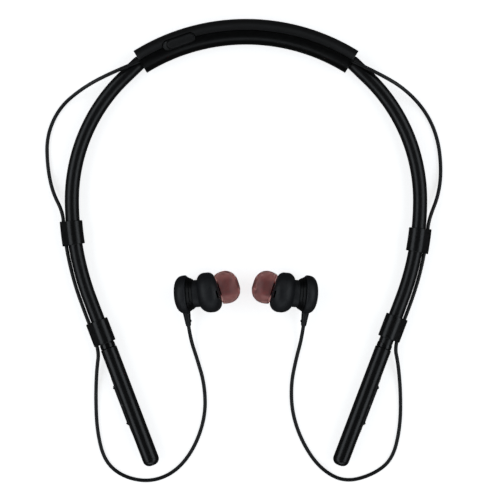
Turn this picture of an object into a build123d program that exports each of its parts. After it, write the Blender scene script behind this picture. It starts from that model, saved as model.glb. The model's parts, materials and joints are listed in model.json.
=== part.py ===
from build123d import *
import math
import os

os.makedirs("parts", exist_ok=True)

# Neckband earphones lying flat, in millimetres. The neck pod is at +Y, the rods point to -Y,
# the face that shows when they lie on a table is +Z and the table is z = 0.
# Each side piece is drawn on the +X side, and the left one is its mirror image.

# ---- driving dimensions: neck pod ----
POD_ARC_RADIUS = 80.0        # centreline of the pod, round the back of the neck
POD_DIAMETER = 10.24
POD_HALF_ANGLE = 31.8        # degrees each side of the middle, to the end plates' faces
POD_WALL = 1.0
SEAM_GROOVE = 0.3            # width of the V along the line where the two shells meet
PLATE_THICKNESS = 2.2
PLATE_RECESS = 0.1           # end plate's face behind the shells' ends

# ---- charging port under its rubber flap ----
PORT_ANGLE = -19.4           # degrees from the pod's middle, to the left
FLAP_LENGTH = 13.4
FLAP_WIDTH = 4.1
FLAP_GAP = 0.14
FLAP_THICKNESS = 1.49        # from the flap's underside to the pod's crown
BOSS_LENGTH = 5.9            # plug under the flap that fills the port's mouth
BOSS_WIDTH = 1.3
BOSS_DEPTH = 0.5
SEAT_THICKNESS = 0.8
SEAT_MARGIN = 0.6            # seat beyond each end of the flap
SEAT_BITE = 0.1              # how far the seat's edges are let into the shells
PORT_LENGTH = 7.5            # receptacle shell, along the pod
PORT_WIDTH = 2.6
PORT_SHELL_WALL = 0.3
PORT_CORNER = 0.5
PORT_CLEARANCE = 0.05        # receptacle shell inside the seat's mouth
TONGUE_LENGTH = 4.9
TONGUE_THICKNESS = 0.6
TONGUE_DEPTH = 1.3           # tongue's end below the mouth
NOTCH_RADIUS = 1.0           # thumbnail notch at the flap's free end

# ---- inside the pod ----
BOARD_THICKNESS = 0.8
BOARD_DROP = 2.52            # board's underside below the pod's centreline
BOARD_CLEARANCE = 0.46
BOARD_FROM = -29.0           # degrees
BOARD_TO = -6.0
SHIELD_LENGTH = 9.0
SHIELD_WIDTH = 4.4
SHIELD_HEIGHT = 1.4
SHIELD_ANGLE = -11.0
BATTERY_CLEARANCE = 0.095    # at the cell's ends, where the pod curves away from it
BATTERY_LENGTH = 28.0
BATTERY_ANGLE = 8.5
MOTOR_DIAMETER = 4.0
MOTOR_LENGTH = 8.0
MOTOR_ANGLE = 23.0
INNER_CLEARANCE = 0.05

# ---- arms ----
ARM_DIAMETER = 5.7
ARM_HEADING = 44.0           # degrees below +X as an arm leaves the pod
ARM_STUB = 8.4               # straight length at the root
ARM_UPPER_RADIUS = 68.0
ARM_LOWER_RADIUS = 112.0
ARM_END_ANGLE = 20.8         # degrees in from -Y along the straight part and the rod
ARM_STRAIGHT = 18.9          # straight length from the lower bend to the ferrule
WIRE_DIAMETER = 1.6          # memory wire in the middle of an arm
PIVOT_STANDOFF = 0.8         # from the end plate's face to the point that the arm flexes about
SOCKET_CLEARANCE = 0.1

# ---- clips that hold the earbud cords against the arms ----
CLIP_LENGTH = 9.6
CLIP_WALL = 1.0
CLIP_BORE_CLEARANCE = 0.05
CORD_GAP = 0.1               # between the arm and the cord inside a clip
CORD_CLEARANCE = 0.25
CORD_WALL = 0.5
CLIP_EDGE = 0.3
UPPER_CLIP_ANGLE = {"left": 6.6, "right": 8.1}      # degrees round the lower bend
LOWER_CLIP_PLACE = {"left": 13.7, "right": 11.8}    # along the straight part, from the bend

# ---- rods ----
ROD_DIAMETER = 6.6
ROD_WALL = 0.7
ROD_LENGTH = 47.3            # tube, without ferrule and end cap
FERRULE_LENGTH = 1.9
FERRULE_WALL = 0.2
FERRULE_GRIP = 1.2
FERRULE_SPIGOT = 1.8
ROD_CAP_LENGTH = 2.8
ROD_CAP_EDGE = 2.5
ROD_CAP_SPIGOT = 2.5
PANEL_PLACE = 23.2           # middle of the key panel from the rod tube's start
PANEL_LENGTH = 25.0
PANEL_WIDTH = 3.8
PANEL_PROUD = 0.12
PANEL_DEPTH = 1.15
PANEL_CORNER = 0.8
KEY_LENGTH = 16.9
KEY_WIDTH = 2.3
KEY_PROUD = 0.45
KEY_DEPTH = 1.3
KEY_GAP = 0.16
KEY_CORNER = 0.7
NUB_HEIGHT = 0.3
NUB_WIDTH = 0.9
PIN_DIAMETER = 0.8
PIN_SET_BACK = 0.15          # pin's ends behind the panel's edges
SWITCH_SPREAD = 6.4          # from the key's pin to each switch
SWITCH_SIZE = 2.6
SWITCH_HEIGHT = 0.75
SWITCH_BUTTON = 0.2
BUTTON_DIAMETER = 1.2
SWITCH_GAP = 0.4             # from a switch's button to the key above it
KEY_BOARD_FROM = 2.0
KEY_BOARD_TO = 38.0
KEY_BOARD_WIDTH = 3.6
KEY_BOARD_THICKNESS = 0.6
MIC_PLACE = 3.2              # from the rod tube's start
MIC_HOLE = 0.9
MIC_SIZE = (2.2, 2.4)        # along and across the rod
MIC_HEIGHT = 1.0
MIC_PORT = 0.6

# ---- earbuds ----
BUD_PLACE = (14.5, -19.7)    # middle of the bud's barrel
BUD_TURN = 5.0               # degrees that the cap's end points below +X, in plan
BUD_PITCH = 8.0              # degrees that the cap's end dips, so that its rim is on the table
BARREL_DIAMETER = 16.0
BARREL_REAR = 4.6            # barrel's middle to its rear shoulder
BARREL_FRONT = 3.7           # barrel's middle to its front face, along the nozzle
BARREL_SEAM = 1.8
SHOULDER_RADIUS = 3.6
FRONT_RADIUS = 2.6
BUD_WALL = 0.9
NOZZLE_TILT = 13.0           # degrees off the barrel's axis, away from the cord
NOZZLE_DROP = 14.0           # degrees off the barrel's axis, towards the table
NOZZLE_DIAMETER = 5.0
NOZZLE_BORE = 3.8
NOZZLE_END = 8.2
BARB_DIAMETER = 5.5
BARB_LENGTH = 1.0
MESH_THICKNESS = 0.3
VENT_LENGTH = 3.0
VENT_WIDTH = 0.7
VENT_BACK = 1.25             # vent slot behind the front face
VENT_SIDE = 1.7              # vent slot towards the cord's side
DRIVER_CLEARANCE = 0.6
DRIVER_THICKNESS = 2.4
NECK_DIAMETER = 10.9
NECK_END = 6.5
RING_DIAMETERS = (12.8, 14.1)
RING_WIDTH = 1.2
RING_GROOVE = 0.25
RING_BORE = 3.0              # passage for the leads
RING_TONGUE = 0.8            # into the cap's bore
GROOVE_DEPTH = 0.4
CAP_DIAMETER = 15.4
CAP_LENGTH = 4.6
CAP_EDGE = 3.2
CAP_INNER_EDGE = 1.1
CAP_WALL = 0.9
MAGNET_DIAMETER = 8.0
MAGNET_THICKNESS = 1.8

# ---- ear tips ----
TIP_GAP = 0.35               # barrel's front face to the dome's rim
TIP_RIM_DIAMETER = 12.0
TIP_DIAMETER = 13.1
TIP_LENGTH = 8.0
TIP_WIDEST = 0.38            # widest point from the rim, as a share of the length
TIP_BORE = 4.4
TIP_LIP = 0.6                # dome's flat end round its bore
TIP_SKIN = 0.55
NOSE_DEPTH = 2.0             # from the dome's end to the stem
NOSE_HOLLOW = 0.8            # hollow's floor outside the stem, on radius
CORE_WALL = 0.65
CORE_SET_BACK = 0.2          # stem's open end behind the dome's rim

# ---- cords and their strain reliefs ----
CORD_DIAMETER = 1.5
EXIT_GAP = 0.65              # between the arm's top and the cord as it leaves the pod
RELIEF_BACK = 0.9            # behind the cap's inner rim
RELIEF_DROOP = 18.0          # degrees below the table's plane
RELIEF_LENGTH = 5.6          # beyond the cap's rim
RELIEF_ROOT = 2.9
RELIEF_END = 2.1
RELIEF_BUMP = 1.0

SIDES = ("left", "right")

# ---- sizes that follow from those above ----
ARM_Z = ARM_DIAMETER / 2 + CLIP_WALL      # the clips lie on the table
CORD_EXIT_Z = ARM_Z + ARM_DIAMETER / 2 + CORD_DIAMETER / 2 + EXIT_GAP
CORD_OFFSET = ARM_DIAMETER / 2 + CORD_DIAMETER / 2 + CORD_GAP
FLAP_SEAT_Z = POD_DIAMETER - FLAP_THICKNESS
POD_Z = POD_DIAMETER / 2
SEAT_TOP_Z = FLAP_SEAT_Z - FLAP_GAP
SEAT_WIDTH = 2 * (math.sqrt((POD_Z - POD_WALL) ** 2 - (SEAT_TOP_Z - POD_Z) ** 2) + SEAT_BITE)
BOARD_Z = POD_Z - BOARD_DROP
BOARD_WIDTH = 2 * (math.sqrt((POD_Z - POD_WALL) ** 2 - BOARD_DROP**2) - BOARD_CLEARANCE)
BATTERY_BOW = BATTERY_LENGTH**2 / (8 * POD_ARC_RADIUS)
BATTERY_DIAMETER = 2 * (POD_Z - POD_WALL - BATTERY_BOW - BATTERY_CLEARANCE)
FERRULE_DIAMETER = ARM_DIAMETER + 2 * FERRULE_WALL
DRIVER_DIAMETER = BARREL_DIAMETER - 2 * (BUD_WALL + DRIVER_CLEARANCE)
CORE_BORE = BARB_DIAMETER + 2 * INNER_CLEARANCE
CORE_DIAMETER = CORE_BORE + 2 * CORE_WALL
CAP_START = NECK_END + 2 * (RING_WIDTH + RING_GROOVE)
CAP_END = CAP_START + CAP_LENGTH
RELIEF_PLACE = CAP_START + RELIEF_BACK


def save(shape, node):
    export_step(shape, f"parts/{node}.step")


def on_side(shape, side):
    """A piece drawn on the +X side, or its mirror image for the left."""
    return shape if side == "right" else mirror(shape, about=Plane.YZ)


def heading(angle):
    """Unit direction in plan, from +X, positive towards +Y."""
    return Vector(math.cos(math.radians(angle)), math.sin(math.radians(angle)), 0)


def rod(radius, start, end):
    """A round bar along the local Z axis."""
    return Pos(0, 0, start) * extrude(Circle(radius), end - start)


def slab(size_x, size_y, start, end):
    return Pos(0, 0, start) * extrude(Rectangle(size_x, size_y), end - start)


# ---- plan of one side, first with the pod's arc centred on the origin ----
pod_end = Vector(
    POD_ARC_RADIUS * math.sin(math.radians(POD_HALF_ANGLE)),
    POD_ARC_RADIUS * math.cos(math.radians(POD_HALF_ANGLE)),
)
pod_tangent = heading(-POD_HALF_ANGLE)
pivot = pod_end + pod_tangent * PIVOT_STANDOFF
stub_end = pivot + heading(-ARM_HEADING) * ARM_STUB
upper_centre = stub_end - heading(90 - ARM_HEADING) * ARM_UPPER_RADIUS
widest = upper_centre + Vector(ARM_UPPER_RADIUS, 0)
lower_centre = widest - Vector(ARM_LOWER_RADIUS, 0)
straight_start = lower_centre + heading(-ARM_END_ANGLE) * ARM_LOWER_RADIUS
rod_direction = heading(-90 - ARM_END_ANGLE)
rod_start = straight_start + rod_direction * (ARM_STRAIGHT + FERRULE_LENGTH)
rod_tip = rod_start + rod_direction * (ROD_LENGTH + ROD_CAP_LENGTH)

# the origin is under the middle of the whole object, so the pod's arc centre follows from it
edge_centre = rod_tip - rod_direction * ROD_CAP_EDGE
lowest = (
    edge_centre.Y
    - (ROD_DIAMETER / 2 - ROD_CAP_EDGE) * math.sin(math.radians(ARM_END_ANGLE))
    - ROD_CAP_EDGE
)
POD_Y = -(POD_ARC_RADIUS + POD_DIAMETER / 2 + lowest) / 2


def in_frame(point, z):
    """A point of the plan at its place in the part's frame."""
    return Vector(point.X, point.Y + POD_Y, z)


pod_axis = Axis((0, POD_Y, 0), (0, 0, 1))
lower_axis = Axis(tuple(in_frame(lower_centre, 0)), (0, 0, 1))


def section_plane(centre, angle):
    """A standing plane through a vertical axis: local x points out at this angle, local y is up."""
    out = heading(angle)
    return Plane(origin=centre, x_dir=out, z_dir=heading(angle - 90))


def pod_band(section, angle_from, angle_to):
    """A section in (radius, height), revolved along the pod; angles run from its middle to +X."""
    plane = section_plane((0, POD_Y, 0), 90 - angle_to)
    return revolve(plane * section, axis=pod_axis, revolution_arc=angle_to - angle_from)


def pod_frame(angle, z):
    """A plane on the pod's centreline: local x is radial, local y is up, local z runs along it."""
    out = heading(90 - angle)
    centre = Vector(0, POD_Y, z) + out * POD_ARC_RADIUS
    return Plane(origin=centre, x_dir=out, z_dir=heading(-angle))


def port_frame(z):
    """A level plane over the charging port, local x along the pod and towards its middle."""
    out = heading(90 - PORT_ANGLE)
    centre = Vector(0, POD_Y, z) + out * POD_ARC_RADIUS
    return Plane(origin=centre, x_dir=heading(-PORT_ANGLE), z_dir=(0, 0, 1))


rod_frame = Plane(
    origin=in_frame(rod_start, ARM_Z), x_dir=heading(-ARM_END_ANGLE), z_dir=rod_direction
)
plate_frame = Plane(
    origin=in_frame(pod_end, POD_Z), x_dir=heading(90 - POD_HALF_ANGLE), z_dir=pod_tangent
)
# the cap's rounded rim stands on the table, which sets the height of the barrel's middle
pitch = math.radians(BUD_PITCH)
BUD_Z = (
    (CAP_DIAMETER / 2 - CAP_EDGE) * math.cos(pitch)
    + CAP_EDGE
    + (CAP_END - CAP_EDGE) * math.sin(pitch)
)
bud_frame = Plane(
    origin=(BUD_PLACE[0], BUD_PLACE[1], BUD_Z),
    x_dir=heading(-90 - BUD_TURN),
    z_dir=heading(-BUD_TURN) * math.cos(pitch) - Vector(0, 0, math.sin(pitch)),
)
# in the bud's own axes the cap is at +Z and the table towards +Y, and the nozzle points off -Z
tilt = math.radians(NOZZLE_TILT)
drop = math.radians(NOZZLE_DROP)
nozzle_way = Vector(
    -math.sin(tilt) * math.cos(drop), math.sin(drop), -math.cos(tilt) * math.cos(drop)
)
nozzle_frame = Plane(
    origin=(0, 0, 0),
    x_dir=Vector(math.cos(tilt), 0, -math.sin(tilt)).cross(nozzle_way),
    z_dir=nozzle_way,
)

# ---- neck pod ----
pod_radius = POD_DIAMETER / 2
cavity_radius = pod_radius - POD_WALL
shell_half_angle = POD_HALF_ANGLE + math.degrees(PLATE_RECESS / POD_ARC_RADIUS)


def stadium(length, width):
    return SlotOverall(length, width)


def port_opening():
    """The flap's recess through the shells' crown."""
    hole = stadium(FLAP_LENGTH + 2 * FLAP_GAP, FLAP_WIDTH + 2 * FLAP_GAP)
    return port_frame(SEAT_TOP_Z) * extrude(hole, POD_DIAMETER)


def port_seat_block():
    """The space that the port's seat takes under the flap."""
    outline = stadium(FLAP_LENGTH + 2 * SEAT_MARGIN, SEAT_WIDTH)
    return port_frame(SEAT_TOP_Z - SEAT_THICKNESS) * extrude(outline, SEAT_THICKNESS)


def pod_shell(outer):
    ring = Circle(pod_radius) - Circle(cavity_radius)
    side = 1 if outer else -1
    half = ring & Pos(side * pod_radius, 0) * Rectangle(2 * pod_radius, 3 * pod_radius)
    groove = Rotation(0, 0, 45) * Rectangle(SEAM_GROOVE, SEAM_GROOVE)
    for height in (-pod_radius, pod_radius):
        half -= Pos(0, height) * groove
    section = Pos(POD_ARC_RADIUS, POD_Z) * half
    shell = pod_band(section, -shell_half_angle, shell_half_angle)
    for side in SIDES:
        shell -= on_side(arm_socket(), side)
    return shell - port_opening() - port_seat_block()


def arm_socket():
    return Pos(*in_frame(pivot, ARM_Z)) * Sphere(ARM_DIAMETER / 2 + SOCKET_CLEARANCE)


def end_plate():
    """Disc that closes the pod's bore, with the arm's socket and the cord's hole."""
    plate = rod(cavity_radius - INNER_CLEARANCE, -PLATE_THICKNESS, 0)
    hole = Pos(0, CORD_EXIT_Z - POD_Z, 0) * rod(CORD_DIAMETER / 2 + 0.1, -PLATE_THICKNESS, 0)
    return plate_frame * (plate - hole) - arm_socket()


def port_flap():
    """Rubber flap, flush with the pod's crown, with a short boss over the port's mouth."""
    body = port_frame(FLAP_SEAT_Z) * extrude(stadium(FLAP_LENGTH, FLAP_WIDTH), POD_DIAMETER)
    crown = Pos(POD_ARC_RADIUS, POD_Z) * Circle(pod_radius)
    body = body & pod_band(crown, PORT_ANGLE - 8, PORT_ANGLE + 8)
    notch = port_frame(POD_DIAMETER) * Pos(-FLAP_LENGTH / 2, 0, 0) * Sphere(NOTCH_RADIUS)
    boss = stadium(BOSS_LENGTH, BOSS_WIDTH)
    return body - notch + port_frame(FLAP_SEAT_Z) * extrude(boss, -BOSS_DEPTH)


def port_seat():
    """Frame under the flap with the port's mouth through it."""
    mouth = port_frame(0) * extrude(Rectangle(PORT_LENGTH, PORT_WIDTH), POD_DIAMETER)
    return port_seat_block() - mouth


def port_shell():
    """Steel shell of the charging receptacle, standing on the board, mouth upwards."""
    base = BOARD_Z + BOARD_THICKNESS
    height = SEAT_TOP_Z - base - 2 * PORT_CLEARANCE
    length = PORT_LENGTH - 2 * PORT_CLEARANCE
    width = PORT_WIDTH - 2 * PORT_CLEARANCE
    outer = extrude(RectangleRounded(length, width, PORT_CORNER), height)
    mouth = Rectangle(length - 2 * PORT_SHELL_WALL, width - 2 * PORT_SHELL_WALL)
    hollow = Pos(0, 0, PORT_SHELL_WALL) * extrude(mouth, height)
    tongue = extrude(Rectangle(TONGUE_LENGTH, TONGUE_THICKNESS), height - TONGUE_DEPTH)
    return port_frame(base) * (outer - hollow + tongue)


def main_board():
    strip = Pos(POD_ARC_RADIUS, BOARD_Z + BOARD_THICKNESS / 2) * Rectangle(
        BOARD_WIDTH, BOARD_THICKNESS
    )
    return pod_band(strip, BOARD_FROM, BOARD_TO)


def radio_shield():
    frame = pod_frame(SHIELD_ANGLE, BOARD_Z + BOARD_THICKNESS + SHIELD_HEIGHT / 2)
    return frame * slab(SHIELD_WIDTH, SHIELD_HEIGHT, -SHIELD_LENGTH / 2, SHIELD_LENGTH / 2)


def pod_cylinder(diameter, length, angle):
    """A straight cell or motor with eased ends, lying along the pod."""
    bar = rod(diameter / 2, -length / 2, length / 2)
    return pod_frame(angle, POD_Z) * fillet(bar.edges().filter_by(GeomType.CIRCLE), 0.3)


# ---- arms ----
def arm_path():
    start = in_frame(pivot, ARM_Z)
    stub = Line(start, in_frame(stub_end, ARM_Z))
    upper = JernArc(stub @ 1, stub % 1, ARM_UPPER_RADIUS, ARM_HEADING - 90)
    lower = JernArc(upper @ 1, upper % 1, ARM_LOWER_RADIUS, -ARM_END_ANGLE)
    straight = Line(lower @ 1, lower @ 1 + (lower % 1) * (ARM_STRAIGHT + FERRULE_GRIP))
    return Wire([stub, upper, lower, straight])


def swept_bar(path, radius):
    start = Plane(origin=path @ 0, z_dir=path % 0)
    return sweep(start * Circle(radius), path=path)


def arm_wire():
    return swept_bar(arm_path(), WIRE_DIAMETER / 2)


def arm_sleeve(path):
    """Rubber sleeve of the arm, with a round root that sits in the end plate's socket."""
    solid = swept_bar(path, ARM_DIAMETER / 2) - swept_bar(path, WIRE_DIAMETER / 2 + INNER_CLEARANCE)
    root = Plane(origin=path @ 0, z_dir=path % 0)
    half_ball = Sphere(
        ARM_DIAMETER / 2, arc_size1=-90, arc_size2=0, align=(Align.CENTER, Align.CENTER, Align.MAX)
    )
    return solid + root * half_ball


# ---- clips ----
def clip_section():
    """Rubber clip across the arm: local x points to the cord, which has a lobe of its own."""
    arm_circle = Circle(ARM_DIAMETER / 2 + CLIP_WALL)
    lobe_radius = CORD_DIAMETER / 2 + CORD_CLEARANCE + CORD_WALL
    lobe = Pos(CORD_OFFSET, 0) * Circle(lobe_radius)
    outline = make_hull(arm_circle.edges() + lobe.edges())
    bore = Circle(ARM_DIAMETER / 2 + CLIP_BORE_CLEARANCE)
    cord_bore = Pos(CORD_OFFSET, 0) * Circle(CORD_DIAMETER / 2 + CORD_CLEARANCE)
    throat = Pos(CORD_OFFSET / 2, 0) * Rectangle(CORD_OFFSET, CORD_DIAMETER)
    return outline - bore - cord_bore - throat


def eased(solid, ends):
    """The outer rim of each end face, rounded over."""
    rims = []
    for face in ends:
        rims += face.outer_wire().edges()
    return fillet(rims, CLIP_EDGE)


def upper_clip(angle):
    """Clip on the curved part of the arm, bent to the same curve."""
    half = math.degrees(CLIP_LENGTH / 2 / ARM_LOWER_RADIUS)
    plane = section_plane(in_frame(lower_centre, ARM_Z), -angle - half)
    section = plane * Pos(ARM_LOWER_RADIUS, 0) * clip_section()
    solid = revolve(section, axis=lower_axis, revolution_arc=2 * half)
    ends = solid.faces().filter_by(GeomType.PLANE).sort_by(Axis.Y)
    return eased(solid, [ends[0], ends[-1]])


def lower_clip(place):
    """Clip on the straight part of the arm."""
    middle = in_frame(straight_start + rod_direction * place, ARM_Z)
    plane = Plane(origin=middle, x_dir=heading(-ARM_END_ANGLE), z_dir=rod_direction)
    solid = extrude(clip_section(), CLIP_LENGTH / 2, both=True)
    ends = solid.faces().sort_by(Axis.Z)
    return plane * eased(solid, [ends[0], ends[-1]])


# ---- rods ----
def side_block(length, width, inner, outer, place, corner):
    """A block on the rod's outward side, its face rounded at the corners."""
    face = Plane(origin=(inner, 0, place), x_dir=(0, 0, 1), z_dir=(1, 0, 0))
    return face * extrude(RectangleRounded(length, width, corner), outer - inner)


rod_radius = ROD_DIAMETER / 2
rod_bore = rod_radius - ROD_WALL
panel_inner = rod_radius + PANEL_PROUD - PANEL_DEPTH
key_inner = rod_radius + KEY_PROUD - KEY_DEPTH
pin_out = key_inner + KEY_DEPTH / 2 - 0.1
switch_base = key_inner - SWITCH_GAP - SWITCH_BUTTON - SWITCH_HEIGHT


def panel_block(extra=0.0):
    return side_block(
        PANEL_LENGTH + 2 * extra, PANEL_WIDTH + 2 * extra, panel_inner, 2 * rod_radius, PANEL_PLACE,
        PANEL_CORNER,
    )


def ferrule():
    """Collar between the arm and the rod, with a spigot inside the rod."""
    collar = rod(FERRULE_DIAMETER / 2, -FERRULE_LENGTH, 0)
    collar = chamfer(collar.edges().filter_by(GeomType.CIRCLE), 0.25)
    collar += rod(rod_bore - INNER_CLEARANCE, 0, FERRULE_SPIGOT)
    grip = rod(ARM_DIAMETER / 2 + INNER_CLEARANCE, -FERRULE_LENGTH, FERRULE_GRIP - FERRULE_LENGTH)
    way = rod(WIRE_DIAMETER / 2 + INNER_CLEARANCE, -FERRULE_LENGTH, FERRULE_SPIGOT)
    return rod_frame * (collar - grip - way)


def rod_tube(has_microphone):
    tube = rod(rod_radius, 0, ROD_LENGTH) - rod(rod_bore, 0, ROD_LENGTH)
    tube -= panel_block(INNER_CLEARANCE)
    if has_microphone:
        bore = Plane(origin=(rod_bore - 0.5, 0, MIC_PLACE), z_dir=(1, 0, 0))
        tube -= bore * extrude(Circle(MIC_HOLE / 2), rod_radius)
    return rod_frame * tube


def rod_cap():
    dome = rod(rod_radius, ROD_LENGTH, ROD_LENGTH + ROD_CAP_LENGTH)
    dome = fillet(dome.edges().filter_by(GeomType.CIRCLE).sort_by(Axis.Z)[-1], ROD_CAP_EDGE)
    dome += rod(rod_bore - INNER_CLEARANCE, ROD_LENGTH - ROD_CAP_SPIGOT, ROD_LENGTH)
    return rod_frame * dome


def key_pin(diameter, length):
    bore = Plane(origin=(pin_out, -length / 2, PANEL_PLACE), z_dir=(0, 1, 0))
    return bore * extrude(Circle(diameter / 2), length)


def key_panel():
    """Bezel let into the rod's outward side, with the key's slot."""
    skin = rod(rod_radius + PANEL_PROUD, 0, ROD_LENGTH)
    slot = side_block(
        KEY_LENGTH + 2 * KEY_GAP, KEY_WIDTH + 2 * KEY_GAP, 0, 2 * rod_radius, PANEL_PLACE, KEY_CORNER
    )
    panel = (panel_block() & skin) - slot
    return rod_frame * (panel - key_pin(PIN_DIAMETER, PANEL_WIDTH - 2 * PIN_SET_BACK))


def rocker_key():
    """Rocking key with a raised nub at each end."""
    skin = rod(rod_radius + KEY_PROUD, 0, ROD_LENGTH)
    key = side_block(KEY_LENGTH, KEY_WIDTH, key_inner, 2 * rod_radius, PANEL_PLACE, KEY_CORNER)
    key &= skin
    for end in (-1, 1):
        place = PANEL_PLACE + end * (KEY_LENGTH / 2 - NUB_WIDTH)
        across = Plane(origin=(rod_radius + KEY_PROUD - NUB_HEIGHT / 2, 0, place), z_dir=(0, 1, 0))
        key += across * extrude(Circle(NUB_WIDTH / 2), KEY_WIDTH / 2 - 0.35, both=True)
    return rod_frame * (key - key_pin(PIN_DIAMETER + 2 * INNER_CLEARANCE, PANEL_WIDTH))


def rocker_pin():
    return rod_frame * key_pin(PIN_DIAMETER, PANEL_WIDTH - 2 * PIN_SET_BACK)


def key_board():
    middle = (KEY_BOARD_FROM + KEY_BOARD_TO) / 2
    board = side_block(
        KEY_BOARD_TO - KEY_BOARD_FROM, KEY_BOARD_WIDTH, switch_base - KEY_BOARD_THICKNESS,
        switch_base, middle, 0.5,
    )
    return rod_frame * board


def key_switches():
    """The two tactile switches under the key's ends."""
    pair = []
    for end in (-1, 1):
        place = PANEL_PLACE + end * SWITCH_SPREAD
        top = switch_base + SWITCH_HEIGHT
        body = side_block(SWITCH_SIZE, SWITCH_SIZE, switch_base, top, place, 0.3)
        face = Plane(origin=(top, 0, place), z_dir=(1, 0, 0))
        button = face * extrude(Circle(BUTTON_DIAMETER / 2), SWITCH_BUTTON)
        pair.append(rod_frame * (body + button))
    return Compound(children=pair)


def microphone():
    length, width = MIC_SIZE
    can = side_block(length, width, switch_base, switch_base + MIC_HEIGHT, MIC_PLACE, 0.3)
    port = Plane(origin=(switch_base + MIC_HEIGHT / 2, 0, MIC_PLACE), z_dir=(1, 0, 0))
    return rod_frame * (can - port * extrude(Circle(MIC_PORT / 2), MIC_HEIGHT))


# ---- earbuds, in the bud's own axes ----
barrel_radius = BARREL_DIAMETER / 2
ring_core = RING_DIAMETERS[0] / 2 - GROOVE_DEPTH


def beyond_front(front):
    """Everything ahead of the tilted front face."""
    return nozzle_frame * slab(4 * BARREL_DIAMETER, 4 * BARREL_DIAMETER, front, front + 30)


def barrel(inset):
    """The whole barrel, or the space left inside a wall of this thickness."""
    solid = rod(barrel_radius - inset, -BARREL_DIAMETER, BARREL_REAR - inset)
    solid -= beyond_front(BARREL_FRONT - inset)
    front_edge = solid.edges().filter_by(GeomType.ELLIPSE)
    rear_edge = solid.edges().filter_by(GeomType.CIRCLE)
    solid = fillet(front_edge, FRONT_RADIUS - inset)
    return fillet(rear_edge, SHOULDER_RADIUS - inset)


def bud_housing():
    """Front half of the barrel with the nozzle, its barb and the vent slot."""
    shell = barrel(0) - barrel(BUD_WALL)
    shell &= slab(4 * BARREL_DIAMETER, 4 * BARREL_DIAMETER, -2 * BARREL_DIAMETER, BARREL_SEAM)
    nozzle = rod(NOZZLE_DIAMETER / 2, BARREL_FRONT - BUD_WALL / 2, NOZZLE_END)
    barb_start = NOZZLE_END - 0.2 - BARB_LENGTH
    nozzle += rod(BARB_DIAMETER / 2, barb_start, barb_start + BARB_LENGTH)
    shell += nozzle_frame * nozzle
    shell -= nozzle_frame * rod(NOZZLE_BORE / 2, 0, NOZZLE_END)
    slot_depth = BARREL_DIAMETER / 4
    vent = Pos(-barrel_radius, VENT_SIDE, BARREL_FRONT - VENT_BACK - VENT_WIDTH / 2) * Box(
        slot_depth, VENT_LENGTH, VENT_WIDTH
    )
    return shell - nozzle_frame * vent


def bud_rear_shell():
    """Rear half of the barrel with the neck that carries the cap."""
    neck = rod(NECK_DIAMETER / 2, BARREL_REAR - BUD_WALL, NECK_END)
    shell = barrel(0) - barrel(BUD_WALL)
    shell -= slab(4 * BARREL_DIAMETER, 4 * BARREL_DIAMETER, -2 * BARREL_DIAMETER, BARREL_SEAM)
    return shell + neck - rod(NECK_DIAMETER / 2 - BUD_WALL, 0, NECK_END)


def bud_driver():
    """Loudspeaker: basket with a raised magnet cup behind it."""
    front = BARREL_SEAM - DRIVER_THICKNESS
    basket = rod(DRIVER_DIAMETER / 2, front, front + DRIVER_THICKNESS * 0.6)
    basket = fillet(basket.edges().filter_by(GeomType.CIRCLE), 0.3)
    return basket + rod(DRIVER_DIAMETER / 3, front + DRIVER_THICKNESS * 0.6, BARREL_SEAM)


def bud_ring():
    """Stepped trim ring between the neck and the cap."""
    first, second = (diameter / 2 for diameter in RING_DIAMETERS)
    step = RING_WIDTH + RING_GROOVE
    ring = rod(first, NECK_END, NECK_END + RING_WIDTH)
    ring += rod(ring_core, NECK_END, CAP_START + RING_TONGUE)
    ring += rod(second, NECK_END + step, NECK_END + step + RING_WIDTH)
    return ring - rod(RING_BORE / 2, NECK_END, CAP_START + RING_TONGUE)


def relief_frame():
    droop = math.radians(RELIEF_DROOP)
    along = (math.cos(droop), math.sin(droop), 0)
    return Plane(origin=(0, 0, RELIEF_PLACE), x_dir=(0, 0, 1), z_dir=along)


relief_from = RING_DIAMETERS[1] / 2 + 0.1
relief_to = CAP_DIAMETER / 2 + RELIEF_LENGTH


def relief_cone(extra=0.0):
    cone = Cone(
        RELIEF_ROOT / 2 + extra, RELIEF_END / 2 + extra, relief_to - relief_from,
        align=(Align.CENTER, Align.CENTER, Align.MIN),
    )
    return relief_frame() * Pos(0, 0, relief_from) * cone


def bud_cap():
    cap = rod(CAP_DIAMETER / 2, CAP_START, CAP_END)
    rims = cap.edges().filter_by(GeomType.CIRCLE).sort_by(Axis.Z)
    cap = fillet(rims[-1], CAP_EDGE)
    inner = cap.edges().filter_by(GeomType.CIRCLE).sort_by(Axis.Z)[0]
    cap = fillet(inner, CAP_INNER_EDGE)
    cap -= rod(ring_core, CAP_START, CAP_END - CAP_WALL)
    return cap - relief_cone(0.03)


def cap_magnet():
    inner_face = CAP_END - CAP_WALL
    return rod(MAGNET_DIAMETER / 2, inner_face - MAGNET_THICKNESS, inner_face)


def strain_relief():
    bump = Pos(-RELIEF_END / 2, 0, relief_to - 2 * RELIEF_BUMP) * Sphere(RELIEF_BUMP / 2)
    return relief_cone() + relief_frame() * bump


def nozzle_mesh():
    end = NOZZLE_END - 0.1
    return nozzle_frame * rod(NOZZLE_BORE / 2, end - MESH_THICKNESS, end)


# ---- ear tips, in the nozzle's axes ----
tip_start = BARREL_FRONT + TIP_GAP
tip_end = tip_start + TIP_LENGTH
nose_floor = tip_end - NOSE_DEPTH


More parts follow.
